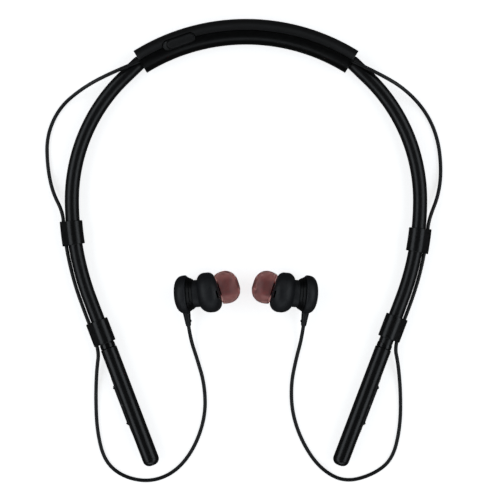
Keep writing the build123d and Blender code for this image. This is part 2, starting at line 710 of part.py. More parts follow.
def dome_curve(inset, nose):
    """Side of the dome from its rim, out to its widest, then in to the nose."""
    rim = (TIP_RIM_DIAMETER / 2 - inset, tip_start)
    widest_point = (TIP_DIAMETER / 2 - inset, tip_start + TIP_LENGTH * TIP_WIDEST)
    second = TangentArc(widest_point, nose, tangent=(0, 1))
    bulge = (widest_point[0] - 0.15 * (widest_point[0] - rim[0]), (rim[1] + widest_point[1]) / 2)
    first = ThreePointArc(rim, bulge, widest_point)
    return [first, second]


def ear_tip():
    outer = dome_curve(0, (TIP_BORE / 2 + TIP_LIP, tip_end))
    inner = dome_curve(TIP_SKIN, (CORE_DIAMETER / 2 + NOSE_HOLLOW, nose_floor))
    edges = outer + inner + [
        Line(outer[0] @ 0, inner[0] @ 0),
        Line(outer[1] @ 1, (TIP_BORE / 2, tip_end)),
        Line((TIP_BORE / 2, tip_end), (TIP_BORE / 2, nose_floor)),
        Line((TIP_BORE / 2, nose_floor), inner[1] @ 1),
    ]
    dome = revolve(Plane.XZ * make_face(edges), axis=Axis.Z)
    return nozzle_frame * dome


def tip_core():
    """Soft stem that grips the nozzle inside the dome."""
    stem = rod(CORE_DIAMETER / 2, tip_start + CORE_SET_BACK, nose_floor)
    return nozzle_frame * (stem - rod(CORE_BORE / 2, tip_start, nose_floor))


# ---- cords: each route is chosen by hand, from the pod's end to the earbud's strain relief ----
CORD_ROUTES = {
    "left": [
        (-42.45, 72.2, 8.1),
        (-54.6, 67.3, 7.5),
        (-65.6, 62.0, 2.7),
        (-75.0, 54.4, 0.85),
        (-80.0, 43.3, 0.75),
        (-79.9, 31.4, 0.75),
        (-77.7, 20.5, 1.9),
        (-73.24, 12.3, 3.85),
        (-72.87, 5.08, 3.85),
        (-71.13, -5.9, 3.85),
        (-68.24, -17.47, 3.85),
        (-63.81, -29.56, 3.85),
        (-58.64, -42.84, 3.85),
        (-59.9, -50.6, 1.9),
        (-60.4, -63.0, 0.75),
        (-59.8, -76.0, 0.75),
        (-56.8, -87.8, 0.75),
        (-49.3, -94.1, 0.75),
        (-38.5, -96.1, 0.75),
        (-28.5, -92.2, 0.75),
        (-20.9, -82.9, 0.75),
        (-16.3, -69.8, 0.75),
        (-16.6, -57.0, 0.75),
        (-19.7, -46.4, 0.85),
        (-22.247, -38.708, 1.85),
        (-22.989, -33.14, 3.656),
    ],
    "right": [
        (42.45, 72.2, 8.1),
        (54.0, 66.9, 7.5),
        (64.2, 61.3, 2.7),
        (72.4, 52.6, 0.85),
        (77.0, 42.3, 0.75),
        (78.5, 30.3, 0.75),
        (77.4, 19.6, 1.9),
        (73.08, 9.3, 3.85),
        (72.41, 2.57, 3.85),
        (70.68, -7.87, 3.85),
        (67.88, -18.41, 3.85),
        (64.16, -28.62, 3.85),
        (59.3, -41.01, 3.85),
        (61.1, -48.6, 1.9),
        (62.2, -61.5, 0.75),
        (61.9, -74.5, 0.75),
        (58.8, -87.2, 0.75),
        (50.5, -93.4, 0.75),
        (39.5, -96.1, 0.75),
        (30.0, -90.9, 0.75),
        (23.0, -81.0, 0.75),
        (18.6, -69.0, 0.75),
        (18.0, -57.0, 0.75),
        (20.2, -46.2, 0.85),
        (22.247, -38.708, 1.85),
        (22.989, -33.14, 3.656),
    ],
}


def corner_radii(points):
    """The largest arc that the two runs beside each corner allow."""
    radii = []
    for before, corner, after in zip(points, points[1:], points[2:]):
        arriving = corner - before
        leaving = after - corner
        half_turn = math.radians(arriving.get_angle(leaving)) / 2
        shorter = min(arriving.length, leaving.length)
        radii.append(0.45 * shorter / math.tan(half_turn))
    return radii


def cord(route, side):
    points = [Vector(*point) for point in route]
    radii = corner_radii(points)
    path = FilletPolyline(*points, radius=radii)
    start = Plane(origin=path @ 0, z_dir=path % 0)
    tube = sweep(start * Circle(CORD_DIAMETER / 2), path=path)
    expected = math.pi * CORD_DIAMETER**2 / 4 * path.length
    print(side, "cord length", round(path.length, 1), "volume ratio", round(tube.volume / expected, 4))
    print("  corner radii", [round(radius, 1) for radius in radii])
    return tube


# ---- write every node ----
save(pod_shell(outer=True), "pod_outer_shell")
save(pod_shell(outer=False), "pod_inner_shell")
save(port_flap(), "port_flap")
save(port_seat(), "port_seat")
save(port_shell(), "charging_receptacle")
save(main_board(), "main_board")
save(radio_shield(), "radio_shield")
save(pod_cylinder(BATTERY_DIAMETER, BATTERY_LENGTH, BATTERY_ANGLE), "battery_cell")
save(pod_cylinder(MOTOR_DIAMETER, MOTOR_LENGTH, MOTOR_ANGLE), "vibration_motor")

for side in SIDES:
    side_pieces = {
        "pod_end_plate": end_plate(),
        "arm_sleeve": arm_sleeve(arm_path()),
        "memory_wire": arm_wire(),
        "upper_clip": upper_clip(UPPER_CLIP_ANGLE[side]),
        "lower_clip": lower_clip(LOWER_CLIP_PLACE[side]),
        "rod_ferrule": ferrule(),
        "rod_tube": rod_tube(has_microphone=side == "right"),
        "rod_end_cap": rod_cap(),
        "key_panel": key_panel(),
        "rocker_key": rocker_key(),
        "rocker_pin": rocker_pin(),
        "key_board": key_board(),
        "key_switches": key_switches(),
        "bud_housing": bud_frame * bud_housing(),
        "bud_rear_shell": bud_frame * bud_rear_shell(),
        "bud_driver": bud_frame * bud_driver(),
        "bud_ring": bud_frame * bud_ring(),
        "bud_cap": bud_frame * bud_cap(),
        "cap_magnet": bud_frame * cap_magnet(),
        "strain_relief": bud_frame * strain_relief(),
        "nozzle_mesh": bud_frame * nozzle_mesh(),
        "ear_tip": bud_frame * ear_tip(),
        "tip_core": bud_frame * tip_core(),
    }
    for name, piece in side_pieces.items():
        save(on_side(piece, side), f"{side}_{name}")
    save(cord(CORD_ROUTES[side], side), f"{side}_cord")

save(microphone(), "right_microphone")
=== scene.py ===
import json
import math

import bmesh
import bpy
from mathutils import Matrix, Vector


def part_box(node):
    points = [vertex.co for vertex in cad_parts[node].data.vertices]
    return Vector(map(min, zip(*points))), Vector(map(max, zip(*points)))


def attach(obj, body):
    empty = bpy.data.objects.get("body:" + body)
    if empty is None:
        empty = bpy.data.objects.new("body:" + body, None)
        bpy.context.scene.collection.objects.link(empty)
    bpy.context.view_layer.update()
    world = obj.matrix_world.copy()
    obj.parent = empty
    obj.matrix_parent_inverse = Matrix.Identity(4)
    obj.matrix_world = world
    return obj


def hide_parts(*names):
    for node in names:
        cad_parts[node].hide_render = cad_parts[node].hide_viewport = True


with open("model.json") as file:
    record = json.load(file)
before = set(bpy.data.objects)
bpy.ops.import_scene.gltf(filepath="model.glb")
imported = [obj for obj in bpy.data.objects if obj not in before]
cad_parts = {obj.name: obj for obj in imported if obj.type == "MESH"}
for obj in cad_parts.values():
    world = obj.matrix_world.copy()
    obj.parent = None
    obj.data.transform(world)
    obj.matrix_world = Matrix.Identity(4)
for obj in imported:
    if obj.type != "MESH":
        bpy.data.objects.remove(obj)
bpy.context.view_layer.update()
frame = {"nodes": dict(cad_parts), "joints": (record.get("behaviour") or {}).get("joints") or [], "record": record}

# Neckband earphones, in metres. Each piece is built on the right, where the frame says, and mirrored
# for the left. The cords differ, and each clip has its own place.
MM = 0.001
SIDES = ("left", "right")

# ---- sizes ----
POD_ARC_RADIUS = 80 * MM
POD_RADIUS = 5.12 * MM
POD_BORE = 4.12 * MM
POD_HALF_ANGLE = math.radians(31.8)
PLATE_RECESS = 0.1 * MM
SEAM_WIDTH = 0.2 * MM
SEAM_DEPTH = 0.4 * MM
SEAM_HALF_GAP = 0.02 * MM
SHELL_EDGE = 0.14 * MM

FLAP_LENGTH = 13.4 * MM
FLAP_WIDTH = 4.1 * MM
FLAP_GAP = 0.14 * MM
FLAP_DRAFT = 0.07 * MM
RECESS_GAP = 0.26 * MM
FLAP_SEAT_Z = 8.75 * MM
NAIL_NOTCH = 1.45 * MM
FLAP_BOSS_LENGTH = 5.9 * MM
FLAP_BOSS_WIDTH = 1.3 * MM
FLAP_BOSS_DROP = 0.5 * MM
FLAP_BOSS_OVERLAP = 0.1 * MM

ARM_RADIUS = 2.85 * MM
ARM_HEADING = math.radians(44)
ARM_STUB = 8.4 * MM
ARM_UPPER_RADIUS = 68 * MM
ARM_LOWER_RADIUS = 112 * MM
ARM_STRAIGHT = 18.9 * MM
SLEEVE_TAIL = 1.0 * MM

CLIP_LENGTH = 9.6 * MM
CLIP_OUTER = 3.85 * MM
CLIP_BORE = 2.9 * MM
LOBE_OFFSET = 3.7 * MM
LOBE_OUTER = 1.5 * MM
LOBE_BORE = 1.0 * MM
CLIP_EDGE = 0.28 * MM
CLIP_FLAT_SHARE = 0.9

FERRULE_LENGTH = 1.9 * MM
FERRULE_RADIUS = 3.05 * MM
ROD_RADIUS = 3.3 * MM
ROD_BORE = 2.6 * MM
ROD_LENGTH = 47.3 * MM
ROD_CAP_LENGTH = 2.8 * MM
ROD_CAP_EDGE = 2.6 * MM
ROD_CAP_GAP = 0.01 * MM
ROD_EDGE = 0.22 * MM
ROD_SEAM_EDGE = 0.04 * MM
PANEL_PLACE = 23.2 * MM
PANEL_LENGTH = 25 * MM
PANEL_WIDTH = 3.8 * MM
PANEL_CORNER = 0.8 * MM
PANEL_PROUD = 0.12 * MM
PANEL_SUNK = 1.0 * MM
PANEL_EDGE = 0.1 * MM
PANEL_GAP = 0.05 * MM
KEY_LENGTH = 16.9 * MM
KEY_WIDTH = 2.3 * MM
KEY_CORNER = 0.7 * MM
KEY_HOLE_CORNER = 0.75 * MM
KEY_PROUD = 0.45 * MM
KEY_SUNK = 0.5 * MM
KEY_EDGE = 0.18 * MM
KEY_GAP = 0.16 * MM
NUB_HEIGHT = 0.3 * MM
NUB_RADIUS = 0.45 * MM
NUB_EDGE = 0.2 * MM
NUB_MARGIN = 0.35 * MM
NUB_FROM_END = 0.9 * MM
MIC_PLACE = 3.2 * MM
MIC_HOLE = 0.45 * MM

BARREL_RADIUS = 8 * MM
BARREL_WALL = 0.9 * MM
BARREL_SEAM = 1.8 * MM
BARREL_REAR = 4.6 * MM
BARREL_FRONT = 3.7 * MM
SHOULDER_SHARE = 0.46
FRONT_RADIUS = 0.7 * MM
FRONT_SHARE = 0.3
REAR_OPENING = 2.4 * MM
FRONT_PINHOLE = 0.02 * MM
NOZZLE_TILT = math.radians(13)
NOZZLE_RADIUS = 2.5 * MM
NOZZLE_BORE = 1.9 * MM
NOZZLE_END = 8.2 * MM
NOZZLE_FOOT = 0.5 * MM
BORE_START = 2 * MM
BARB_RADIUS = 2.75 * MM
BARB_FROM = 7.0 * MM
BARB_TO = 8.0 * MM
VENT_LENGTH = 3.0 * MM
VENT_WIDTH = 0.7 * MM
VENT_BACK = 1.25 * MM
VENT_SIDE = 1.7 * MM
VENT_OUTSIDE = 2 * MM
VENT_INSIDE = 3.2 * MM
NECK_RADIUS = 5.45 * MM
NECK_END = 6.5 * MM
NECK_EDGE = 0.05 * MM
RING_START = 6.3 * MM
RING_RADII = (5.75 * MM, 6.4 * MM, 7.0 * MM)
RING_WIDTH = 1.0 * MM
RING_GROOVE = 0.15 * MM
GROOVE_DEPTH = 0.25 * MM
RING_CORE = 6.0 * MM
RING_INNER = NECK_RADIUS - 1 * MM
RING_TONGUE = 0.8 * MM
RING_EDGE = 0.1 * MM
CAP_RADIUS = 7.65 * MM
CAP_START = 8.6 * MM
CAP_END = 14.0 * MM
CAP_INNER_EDGE = 0.8 * MM
CAP_ROUNDNESS = 2.7
CAP_LIP = 1.2 * MM
CAP_CLEARANCE = 0.05 * MM
CAP_PINHOLE = 0.01 * MM

RELIEF_PLACE = 10.3 * MM
RELIEF_DROOP = math.radians(18)
RELIEF_FROM = 7.15 * MM
RELIEF_TO = 13.3 * MM
RELIEF_ROOT = 1.45 * MM
RELIEF_END = 1.05 * MM
RELIEF_FLARE = 0.12 * MM
BUMP_RADIUS = 0.5 * MM
BUMP_HALF_LENGTH = 0.62 * MM
BUMP_FROM_END = 2.0 * MM
BUMP_PROUD = 0.02 * MM

TIP_START = 4.05 * MM
TIP_END = 12.05 * MM
TIP_RIM = 6.0 * MM
TIP_RADIUS = 6.55 * MM
TIP_WIDEST = 7.1 * MM
TIP_BORE = 2.2 * MM
TIP_LIP = 0.6 * MM
TIP_SKIN = 0.55 * MM
NOSE_FLOOR = 10.05 * MM
NOSE_HOLLOW = 4.2 * MM
CORE_RADIUS = 3.45 * MM
CORE_BORE = 2.8 * MM

CORD_DIAMETER = 1.5 * MM

# ---- places, from the frame ----
joints = {joint["name"]: joint for joint in frame["joints"]}
mounts = {mount["name"]: mount for mount in frame["record"]["mounts"]}
UP = Vector((0, 0, 1))
MIRROR = Matrix.Diagonal((-1, 1, 1, 1))


def basis(origin, z_axis, x_axis):
    """A frame at origin, as a matrix, with its Z and X along these directions."""
    z_axis = Vector(z_axis).normalized()
    x_axis = Vector(x_axis).normalized()
    turn = Matrix((x_axis, z_axis.cross(x_axis), z_axis)).transposed()
    return Matrix.Translation(origin) @ turn.to_4x4()


def middle_of(node):
    low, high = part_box(node)
    return (low + high) / 2


def on_side(place, side):
    return place if side == "right" else MIRROR @ place


pod_centre = Vector((0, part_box("pod_outer_shell")[1].y - POD_ARC_RADIUS - POD_RADIUS, POD_RADIUS))
pivot = Vector(joints["right_arm_flex"]["pos_m"])
bend_centre = Vector(joints["right_upper_clip_slide"]["pos_m"])
rod_way = -Vector(joints["right_lower_clip_slide"]["axis"])
rod_out = Vector((-rod_way.y, rod_way.x, 0))
end_angle = math.atan2(-rod_out.y, rod_out.x)
straight_start = bend_centre + rod_out * ARM_LOWER_RADIUS
rod_start = straight_start + rod_way * (ARM_STRAIGHT + FERRULE_LENGTH)
rod_place = basis(rod_start, rod_way, rod_out)

cap_way = Vector(mounts["right_bud_cap_face"]["axis"])
bud_origin = Vector(mounts["right_bud_cap_face"]["pos_m"]) - cap_way * CAP_END
bud_place = basis(bud_origin, cap_way, (-UP).cross(cap_way))
nozzle_way = Vector(joints["right_tip_pull"]["axis"])
nozzle_side = bud_place.to_3x3() @ Vector((math.cos(NOZZLE_TILT), 0, -math.sin(NOZZLE_TILT)))
nozzle_place = basis(bud_origin, nozzle_way, nozzle_side.cross(nozzle_way))
front_normal = bud_place.to_3x3().transposed() @ nozzle_way
relief_along = Vector((math.cos(RELIEF_DROOP), math.sin(RELIEF_DROOP), 0))
relief_place = bud_place @ basis((0, 0, RELIEF_PLACE), relief_along, (0, 0, 1))

flap_hinge = Vector(joints["port_flap_hinge"]["pos_m"])
flap_along = Vector(joints["port_flap_hinge"]["axis"]).cross(UP)
flap_middle = flap_hinge - flap_along * FLAP_LENGTH / 2
flap_place = basis((flap_middle.x, flap_middle.y, 0), UP, flap_along)

# ---- camera, straight above ----
CAMERA_HEIGHT = 0.68
VIEW_WIDTH = 0.2
SENSOR_WIDTH = 36
view_middle = Vector((1.6 * MM, -2.86 * MM, 0))
camera_data = bpy.data.cameras.new("camera")
camera_data.sensor_width = SENSOR_WIDTH
camera_data.lens = SENSOR_WIDTH * (CAMERA_HEIGHT - pivot.z) / VIEW_WIDTH
camera = bpy.data.objects.new("camera", camera_data)
camera.location = view_middle + UP * CAMERA_HEIGHT
bpy.context.scene.collection.objects.link(camera)
bpy.context.scene.camera = camera


# ---- materials ----
NOISE_LOW = 0.3
NOISE_HIGH = 0.7


def node_of(tree, kind, **values):
    node = tree.nodes.new("ShaderNode" + kind)
    for key, value in values.items():
        setattr(node, key, value)
    return node


def noise(tree, coords, size, detail=2.0):
    texture = node_of(tree, "TexNoise")
    texture.inputs["Scale"].default_value = 1 / size
    texture.inputs["Detail"].default_value = detail
    tree.links.new(coords, texture.inputs["Vector"])
    return texture.outputs["Fac"]


def ranged(tree, value, low, high, to_low, to_high):
    span = node_of(tree, "MapRange")
    limits = {"From Min": low, "From Max": high, "To Min": to_low, "To Max": to_high}
    for name, number in limits.items():
        span.inputs[name].default_value = number
    tree.links.new(value, span.inputs["Value"])
    return span.outputs["Result"]


def tinted(tree, value, dark, light):
    blend = node_of(tree, "Mix", data_type="RGBA")
    blend.inputs["A"].default_value = (*dark, 1)
    blend.inputs["B"].default_value = (*light, 1)
    tree.links.new(value, blend.inputs["Factor"])
    return blend.outputs["Result"]


def surface(name, color, roughness, spread=0.05, mottling=0.2, patch=4 * MM,
            grain=0.25 * MM, depth=0.004 * MM, stretch=(1, 1, 1), **shader):
    """A finish with mottled colour, uneven gloss and a fine grain. Sizes are the real ones."""
    material = bpy.data.materials.new(name)
    material.use_nodes = True
    tree = material.node_tree
    principled = tree.nodes["Principled BSDF"]
    source = node_of(tree, "TexCoord")
    mapping = node_of(tree, "Mapping")
    mapping.inputs["Scale"].default_value = stretch
    tree.links.new(source.outputs["Object"], mapping.inputs["Vector"])
    coords = mapping.outputs["Vector"]

    patches = ranged(tree, noise(tree, coords, patch, 4.0), NOISE_LOW, NOISE_HIGH, 0, 1)
    dark = [channel * (1 - mottling) for channel in color]
    light = [channel * (1 + mottling) for channel in color]
    tree.links.new(tinted(tree, patches, dark, light), principled.inputs["Base Color"])

    gloss = noise(tree, coords, patch / 3, 5.0)
    uneven = ranged(tree, gloss, NOISE_LOW, NOISE_HIGH, roughness - spread, roughness + spread)
    tree.links.new(uneven, principled.inputs["Roughness"])

    bump = node_of(tree, "Bump")
    bump.inputs["Strength"].default_value = 1.0
    bump.inputs["Distance"].default_value = depth
    tree.links.new(noise(tree, coords, grain, 3.0), bump.inputs["Height"])
    tree.links.new(bump.outputs["Normal"], principled.inputs["Normal"])
    for key, number in shader.items():
        principled.inputs[key.replace("_", " ")].default_value = number
    return material


def woven(name, color, roughness, pitch, depth):
    """A wire cloth: two sets of wires crossing, drawn as a checker whose dark squares are painted shade standing
    in for the holes between them.
    """
    material = surface(name, color, roughness, grain=pitch / 3, depth=depth / 4, Metallic=1.0)
    tree = material.node_tree
    principled = tree.nodes["Principled BSDF"]
    source = node_of(tree, "TexCoord")
    turned = node_of(tree, "Mapping")
    turned.inputs["Scale"].default_value = (1 / pitch, 1 / pitch, 1 / pitch)
    tree.links.new(source.outputs["Object"], turned.inputs["Vector"])
    checker = node_of(tree, "TexChecker")
    checker.inputs["Scale"].default_value = 1.0
    checker.inputs["Color1"].default_value = (*color, 1)
    # Painted shade: the near-black squares stand for the shadowed holes in the cloth, which are not cut.
    checker.inputs["Color2"].default_value = (0.01, 0.01, 0.01, 1)
    tree.links.new(turned.outputs["Vector"], checker.inputs["Vector"])
    tree.links.new(checker.outputs["Color"], principled.inputs["Base Color"])
    return material


BLACK = (0.0025, 0.0026, 0.0029)
FINISHES = {
    "pod_shell": surface("satin_shell", (0.0034, 0.0035, 0.0039), 0.44,
                         grain=0.3 * MM, depth=0.006 * MM),
    # Painted shade: the inner shell is the same plastic as the outer one, but its colour is set darker because its
    # side is turned away from the light.
    "pod_lining": surface("inner_shell_painted_shade", (0.0009, 0.0009, 0.001), 0.34,
                          grain=0.2 * MM, depth=0.004 * MM, Specular_IOR_Level=0.25),
    "end_plate": surface("polished_plate", (0.02, 0.02, 0.021), 0.12, spread=0.03, depth=0.001 * MM),
    "flap_rubber": surface("flap_rubber", (0.004, 0.0041, 0.0044), 0.5,
                           grain=0.15 * MM, depth=0.005 * MM),
    "port_frame": surface("port_frame", BLACK, 0.5),
    "port_steel": surface("port_steel", (0.6, 0.6, 0.61), 0.28, Metallic=1.0, stretch=(1, 1, 8)),
    "board": surface("solder_mask", (0.012, 0.08, 0.04), 0.3, patch=1.2 * MM, mottling=0.4),
    "shield": surface("tinned_shield", (0.62, 0.62, 0.62), 0.3, Metallic=1.0),
    "cell_wrap": surface("cell_wrap", (0.3, 0.32, 0.34), 0.35, Metallic=1.0),
    "motor_steel": surface("motor_steel", (0.55, 0.55, 0.55), 0.25, Metallic=1.0),
    "arm_rubber": surface("arm_rubber", (0.0034, 0.0035, 0.004), 0.33,
                          grain=0.2 * MM, depth=0.003 * MM),
    "spring_steel": surface("spring_steel", (0.5, 0.48, 0.45), 0.25, Metallic=1.0),
    "clip_rubber": surface("clip_rubber", (0.003, 0.0031, 0.0034), 0.3,
                           grain=0.12 * MM, depth=0.004 * MM),
    "ferrule": surface("ferrule_gloss", BLACK, 0.2, spread=0.03, depth=0.001 * MM),
    "rod_metal": surface("rod_enamel", (0.003, 0.0031, 0.0035), 0.28, spread=0.03,
                         grain=0.5 * MM, depth=0.0015 * MM),
    "rod_cap": surface("rod_cap", (0.003, 0.0031, 0.0035), 0.28, spread=0.03, depth=0.001 * MM),
    "key_panel": surface("key_bezel", (0.004, 0.0041, 0.0045), 0.35),
    "key_plastic": surface("key_plastic", (0.008, 0.0082, 0.009), 0.32, depth=0.002 * MM),
    "pin_steel": surface("pin_steel", (0.55, 0.55, 0.55), 0.25, Metallic=1.0),
    "switch": surface("switch_can", (0.5, 0.5, 0.52), 0.3, Metallic=1.0),
    "bud_plastic": surface("bud_soft_touch", (0.0064, 0.0073, 0.0096), 0.52,
                           grain=0.16 * MM, depth=0.005 * MM),
    "ring_plastic": surface("ring_gloss", (0.0022, 0.0024, 0.0029), 0.34, spread=0.03,
                            depth=0.001 * MM, Specular_IOR_Level=0.2),
    "driver": surface("driver_basket", (0.4, 0.38, 0.32), 0.35, Metallic=1.0),
    "magnet": surface("nickel", (0.65, 0.65, 0.66), 0.15, Metallic=1.0),
    "relief_rubber": surface("relief_rubber", (0.005, 0.0053, 0.0062), 0.42, grain=0.12 * MM),
    "mesh": woven("wire_cloth", (0.4, 0.4, 0.41), 0.35, 0.2 * MM, 0.02 * MM),
    "tip_silicone": surface("tip_silicone", (0.6, 0.34, 0.32), 0.34, patch=3 * MM,
                            mottling=0.08, depth=0.003 * MM, Transmission_Weight=0.8, IOR=1.41),
    "core_silicone": surface("core_silicone", (0.85, 0.02, 0.04), 0.4, mottling=0.1,
                             Subsurface_Weight=0.2, Subsurface_Scale=0.001),
    "cord_jacket": surface("cord_jacket", (0.0036, 0.0038, 0.0043), 0.38, grain=0.18 * MM),
}
for subpart in frame["record"]["subparts"]:
    node_object = frame["nodes"][subpart["node"]]
    node_object.data.materials.clear()
    node_object.data.materials.append(FINISHES[subpart["material_slot"]])


# ---- mesh tools ----
# How many steps, sides or rows the curved shapes are divided into.
SEGMENTS = 96
ARC_STEPS = 6
RIM_STEPS = 4
SEAM_STEPS = 40
BORE_STEPS = 24
POD_STEPS = 120
ARM_SIDES = 40
ARM_ROOT_STEPS = 8
ARM_STATIONS = 110
CLIP_COLUMNS = 120
CLIP_ROWS = 12
HULL_STEPS = 48
CORNER_STEPS = 6
BARREL_CORNER_STEPS = 18
BARREL_ROWS = 28
HOLE_SIDES = 48
CAP_STEPS = 32
BUMP_STEPS = 12
TIP_SIDE_STEPS = 8
TIP_DOME_STEPS = 20
SHARP = math.radians(32)
ON_AXIS = 1e-7


def solid_object(name, points, faces, place):
    """A closed mesh moved to its place, its faces all turned outwards."""
    mesh = bpy.data.meshes.new(name)
    mesh.from_pydata([tuple(point) for point in points], [], faces)
    mesh.transform(place)
    work = bmesh.new()
    work.from_mesh(mesh)
    bmesh.ops.recalc_face_normals(work, faces=work.faces)
    work.to_mesh(mesh)
    work.free()
    solid = bpy.data.objects.new(name, mesh)
    bpy.context.scene.collection.objects.link(solid)
    return solid


def make_piece(name, points, faces, place, body, slot, stands_for):
    """A visible piece that rides on its body and stands for its CAD nodes."""
    piece = solid_object(name, points, faces, place)
    dress(piece, slot)
    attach(piece, body)
    if stands_for:
        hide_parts(*stands_for)
    return piece


def dress(piece, slot):
    piece.data.materials.clear()
    piece.data.materials.append(FINISHES[slot])
    piece.data.shade_smooth()
    piece.data.set_sharp_from_angle(angle=SHARP)


def modify(piece, kind, **values):
    """Adds a modifier and applies it to the mesh."""
    modifier = piece.modifiers.new(kind.lower(), kind)
    for key, value in values.items():
        setattr(modifier, key, value)
    graph = bpy.context.evaluated_depsgraph_get()
    result = bpy.data.meshes.new_from_object(piece.evaluated_get(graph))
    piece.modifiers.clear()
    piece.data = result
    piece.data.shade_smooth()
    piece.data.set_sharp_from_angle(angle=SHARP)


def grid_faces(rows, columns, close_rows, close_columns):
    """Faces of a grid of points that runs row by row, closed either way or not."""
    faces = []
    for row in range(rows if close_rows else rows - 1):
        for column in range(columns if close_columns else columns - 1):
            following = (row + 1) % rows
            beside = (column + 1) % columns
            faces.append((row * columns + column, row * columns + beside,
                          following * columns + beside, following * columns + column))
    return faces


def rounded(points, radii, steps=ARC_STEPS):
    """An open outline whose inner corners are rounded to these radii."""
    outline = [Vector(points[0])]
    for before, corner, after, radius in zip(points, points[1:], points[2:], radii):
        corner = Vector(corner)
        back = (Vector(before) - corner).normalized()
        ahead = (Vector(after) - corner).normalized()
        half = back.angle(ahead) / 2
        centre = corner + (back + ahead).normalized() * radius / math.sin(half)
        start = corner + back * radius / math.tan(half) - centre
        end = corner + ahead * radius / math.tan(half) - centre
        first = math.atan2(start.y, start.x)
        turn = (math.atan2(end.y, end.x) - first + math.pi) % (2 * math.pi) - math.pi
        for step in range(steps + 1):
            angle = first + turn * step / steps
            outline.append(centre + Vector((math.cos(angle), math.sin(angle))) * radius)
    outline.append(Vector(points[-1]))
    return outline


def evenly_spaced(outline, count):
    """The same open outline with this many points, at equal steps along it."""
    runs = [(after - before).length for before, after in zip(outline, outline[1:])]
    spaced = [outline[0]]
    for step in range(1, count - 1):
        left = sum(runs) * step / (count - 1)
        index = 0
        while left > runs[index]:
            left -= runs[index]
            index += 1
        spaced.append(outline[index].lerp(outline[index + 1], left / runs[index]))
    return spaced + [outline[-1]]


def lathe(outline, segments=SEGMENTS):
    """Points and faces of an outline of (radius, height), turned about Z.

    An outline that starts and ends on the axis makes a bar; any other is closed into a tube."""
    bar = outline[0][0] < ON_AXIS and outline[-1][0] < ON_AXIS
    rings = outline[1:-1] if bar else outline
    points = []
    for radius, height in rings:
        for step in range(segments):
            angle = 2 * math.pi * step / segments
            points.append((radius * math.cos(angle), radius * math.sin(angle), height))
    faces = grid_faces(len(rings), segments, not bar, True)
    if bar:
        for pole, ring in ((outline[0], 0), (outline[-1], len(rings) - 1)):
            points.append((0, 0, pole[1]))
            for step in range(segments):
                faces.append((len(points) - 1, ring * segments + step,
                              ring * segments + (step + 1) % segments))
    return points, faces


def joined(*solids):
    """Several solids' points and faces as one."""
    points = []
    faces = []
    for more_points, more_faces in solids:
        base = len(points)
        points += [tuple(point) for point in more_points]
        faces += [tuple(index + base for index in face) for face in more_faces]
    return points, faces


def moved(solid, place):
    points, faces = solid
    return [place @ Vector(point) for point in points], faces


def stacked(outlines):
    """Rings of (x, y, z), one for each outline, closed at both ends."""
    points = [point for outline in outlines for point in outline]
    count = len(outlines[0])
    faces = grid_faces(len(outlines), count, False, True)
    faces.append(tuple(range(count)))
    faces.append(tuple(range(len(points) - count, len(points))))
    return points, faces


def prism(outline, low, high):
    return stacked([[(x, y, height) for x, y in outline] for height in (low, high)])


def swept(stations, section):
    """A closed section of (x, y) carried along a list of frames."""
    return stacked([[station @ Vector((x, y, 0)) for x, y in section] for station in stations])


def cut(piece, points, faces, place):
    """Takes a solid away from a piece."""
    tool = solid_object("cutter", points, faces, place)
    modify(piece, "BOOLEAN", operation="DIFFERENCE", solver="EXACT", object=tool)
    bpy.data.objects.remove(tool)


def stadium(length, width, steps=24):
    """Outline of a long round-ended slot, its length along X."""
    radius = width / 2
    straight = length / 2 - radius
    outline = []
    for end in (1, -1):
        for step in range(steps + 1):
            angle = math.pi * step / steps - math.pi / 2
            x = straight + radius * math.cos(angle)
            outline.append(Vector((end * x, end * radius * math.sin(angle))))
    return outline


# ---- cords ----
CORD_ROUTES = {
    "left": [
        (-0.04245, 0.0722, 0.0081),
        (-0.0546, 0.0673, 0.0075),
        (-0.0656, 0.0620, 0.0027),
        (-0.0750, 0.0544, 0.00085),
        (-0.0800, 0.0433, 0.00075),
        (-0.0799, 0.0314, 0.00075),
        (-0.0777, 0.0205, 0.0019),
        (-0.07324, 0.0123, 0.00385),
        (-0.07287, 0.00508, 0.00385),
        (-0.07113, -0.0059, 0.00385),
        (-0.06824, -0.01747, 0.00385),
        (-0.06381, -0.02956, 0.00385),
        (-0.05864, -0.04284, 0.00385),
        (-0.0599, -0.0506, 0.0019),
        (-0.0604, -0.0630, 0.00075),
        (-0.0598, -0.0760, 0.00075),
        (-0.0568, -0.0878, 0.00075),
        (-0.0493, -0.0941, 0.00075),
        (-0.0385, -0.0961, 0.00075),
        (-0.0285, -0.0922, 0.00075),
        (-0.0209, -0.0829, 0.00075),
        (-0.0163, -0.0698, 0.00075),
        (-0.0166, -0.0570, 0.00075),
        (-0.0197, -0.0464, 0.00085),
        (-0.022247, -0.038708, 0.00185),
        (-0.022989, -0.03314, 0.003656),
    ],
    "right": [
        (0.04245, 0.0722, 0.0081),
        (0.0540, 0.0669, 0.0075),
        (0.0642, 0.0613, 0.0027),
        (0.0724, 0.0526, 0.00085),
        (0.0770, 0.0423, 0.00075),
        (0.0785, 0.0303, 0.00075),
        (0.0774, 0.0196, 0.0019),
        (0.07308, 0.0093, 0.00385),
        (0.07241, 0.00257, 0.00385),
        (0.07068, -0.00787, 0.00385),
        (0.06788, -0.01841, 0.00385),
        (0.06416, -0.02862, 0.00385),
        (0.0593, -0.04101, 0.00385),
        (0.0611, -0.0486, 0.0019),
        (0.0622, -0.0615, 0.00075),
        (0.0619, -0.0745, 0.00075),
        (0.0588, -0.0872, 0.00075),
        (0.0505, -0.0934, 0.00075),
        (0.0395, -0.0961, 0.00075),
        (0.0300, -0.0909, 0.00075),
        (0.0230, -0.0810, 0.00075),
        (0.0186, -0.0690, 0.00075),
        (0.0180, -0.0570, 0.00075),
        (0.0202, -0.0462, 0.00085),
        (0.022247, -0.038708, 0.00185),
        (0.022989, -0.03314, 0.003656),
    ],
}


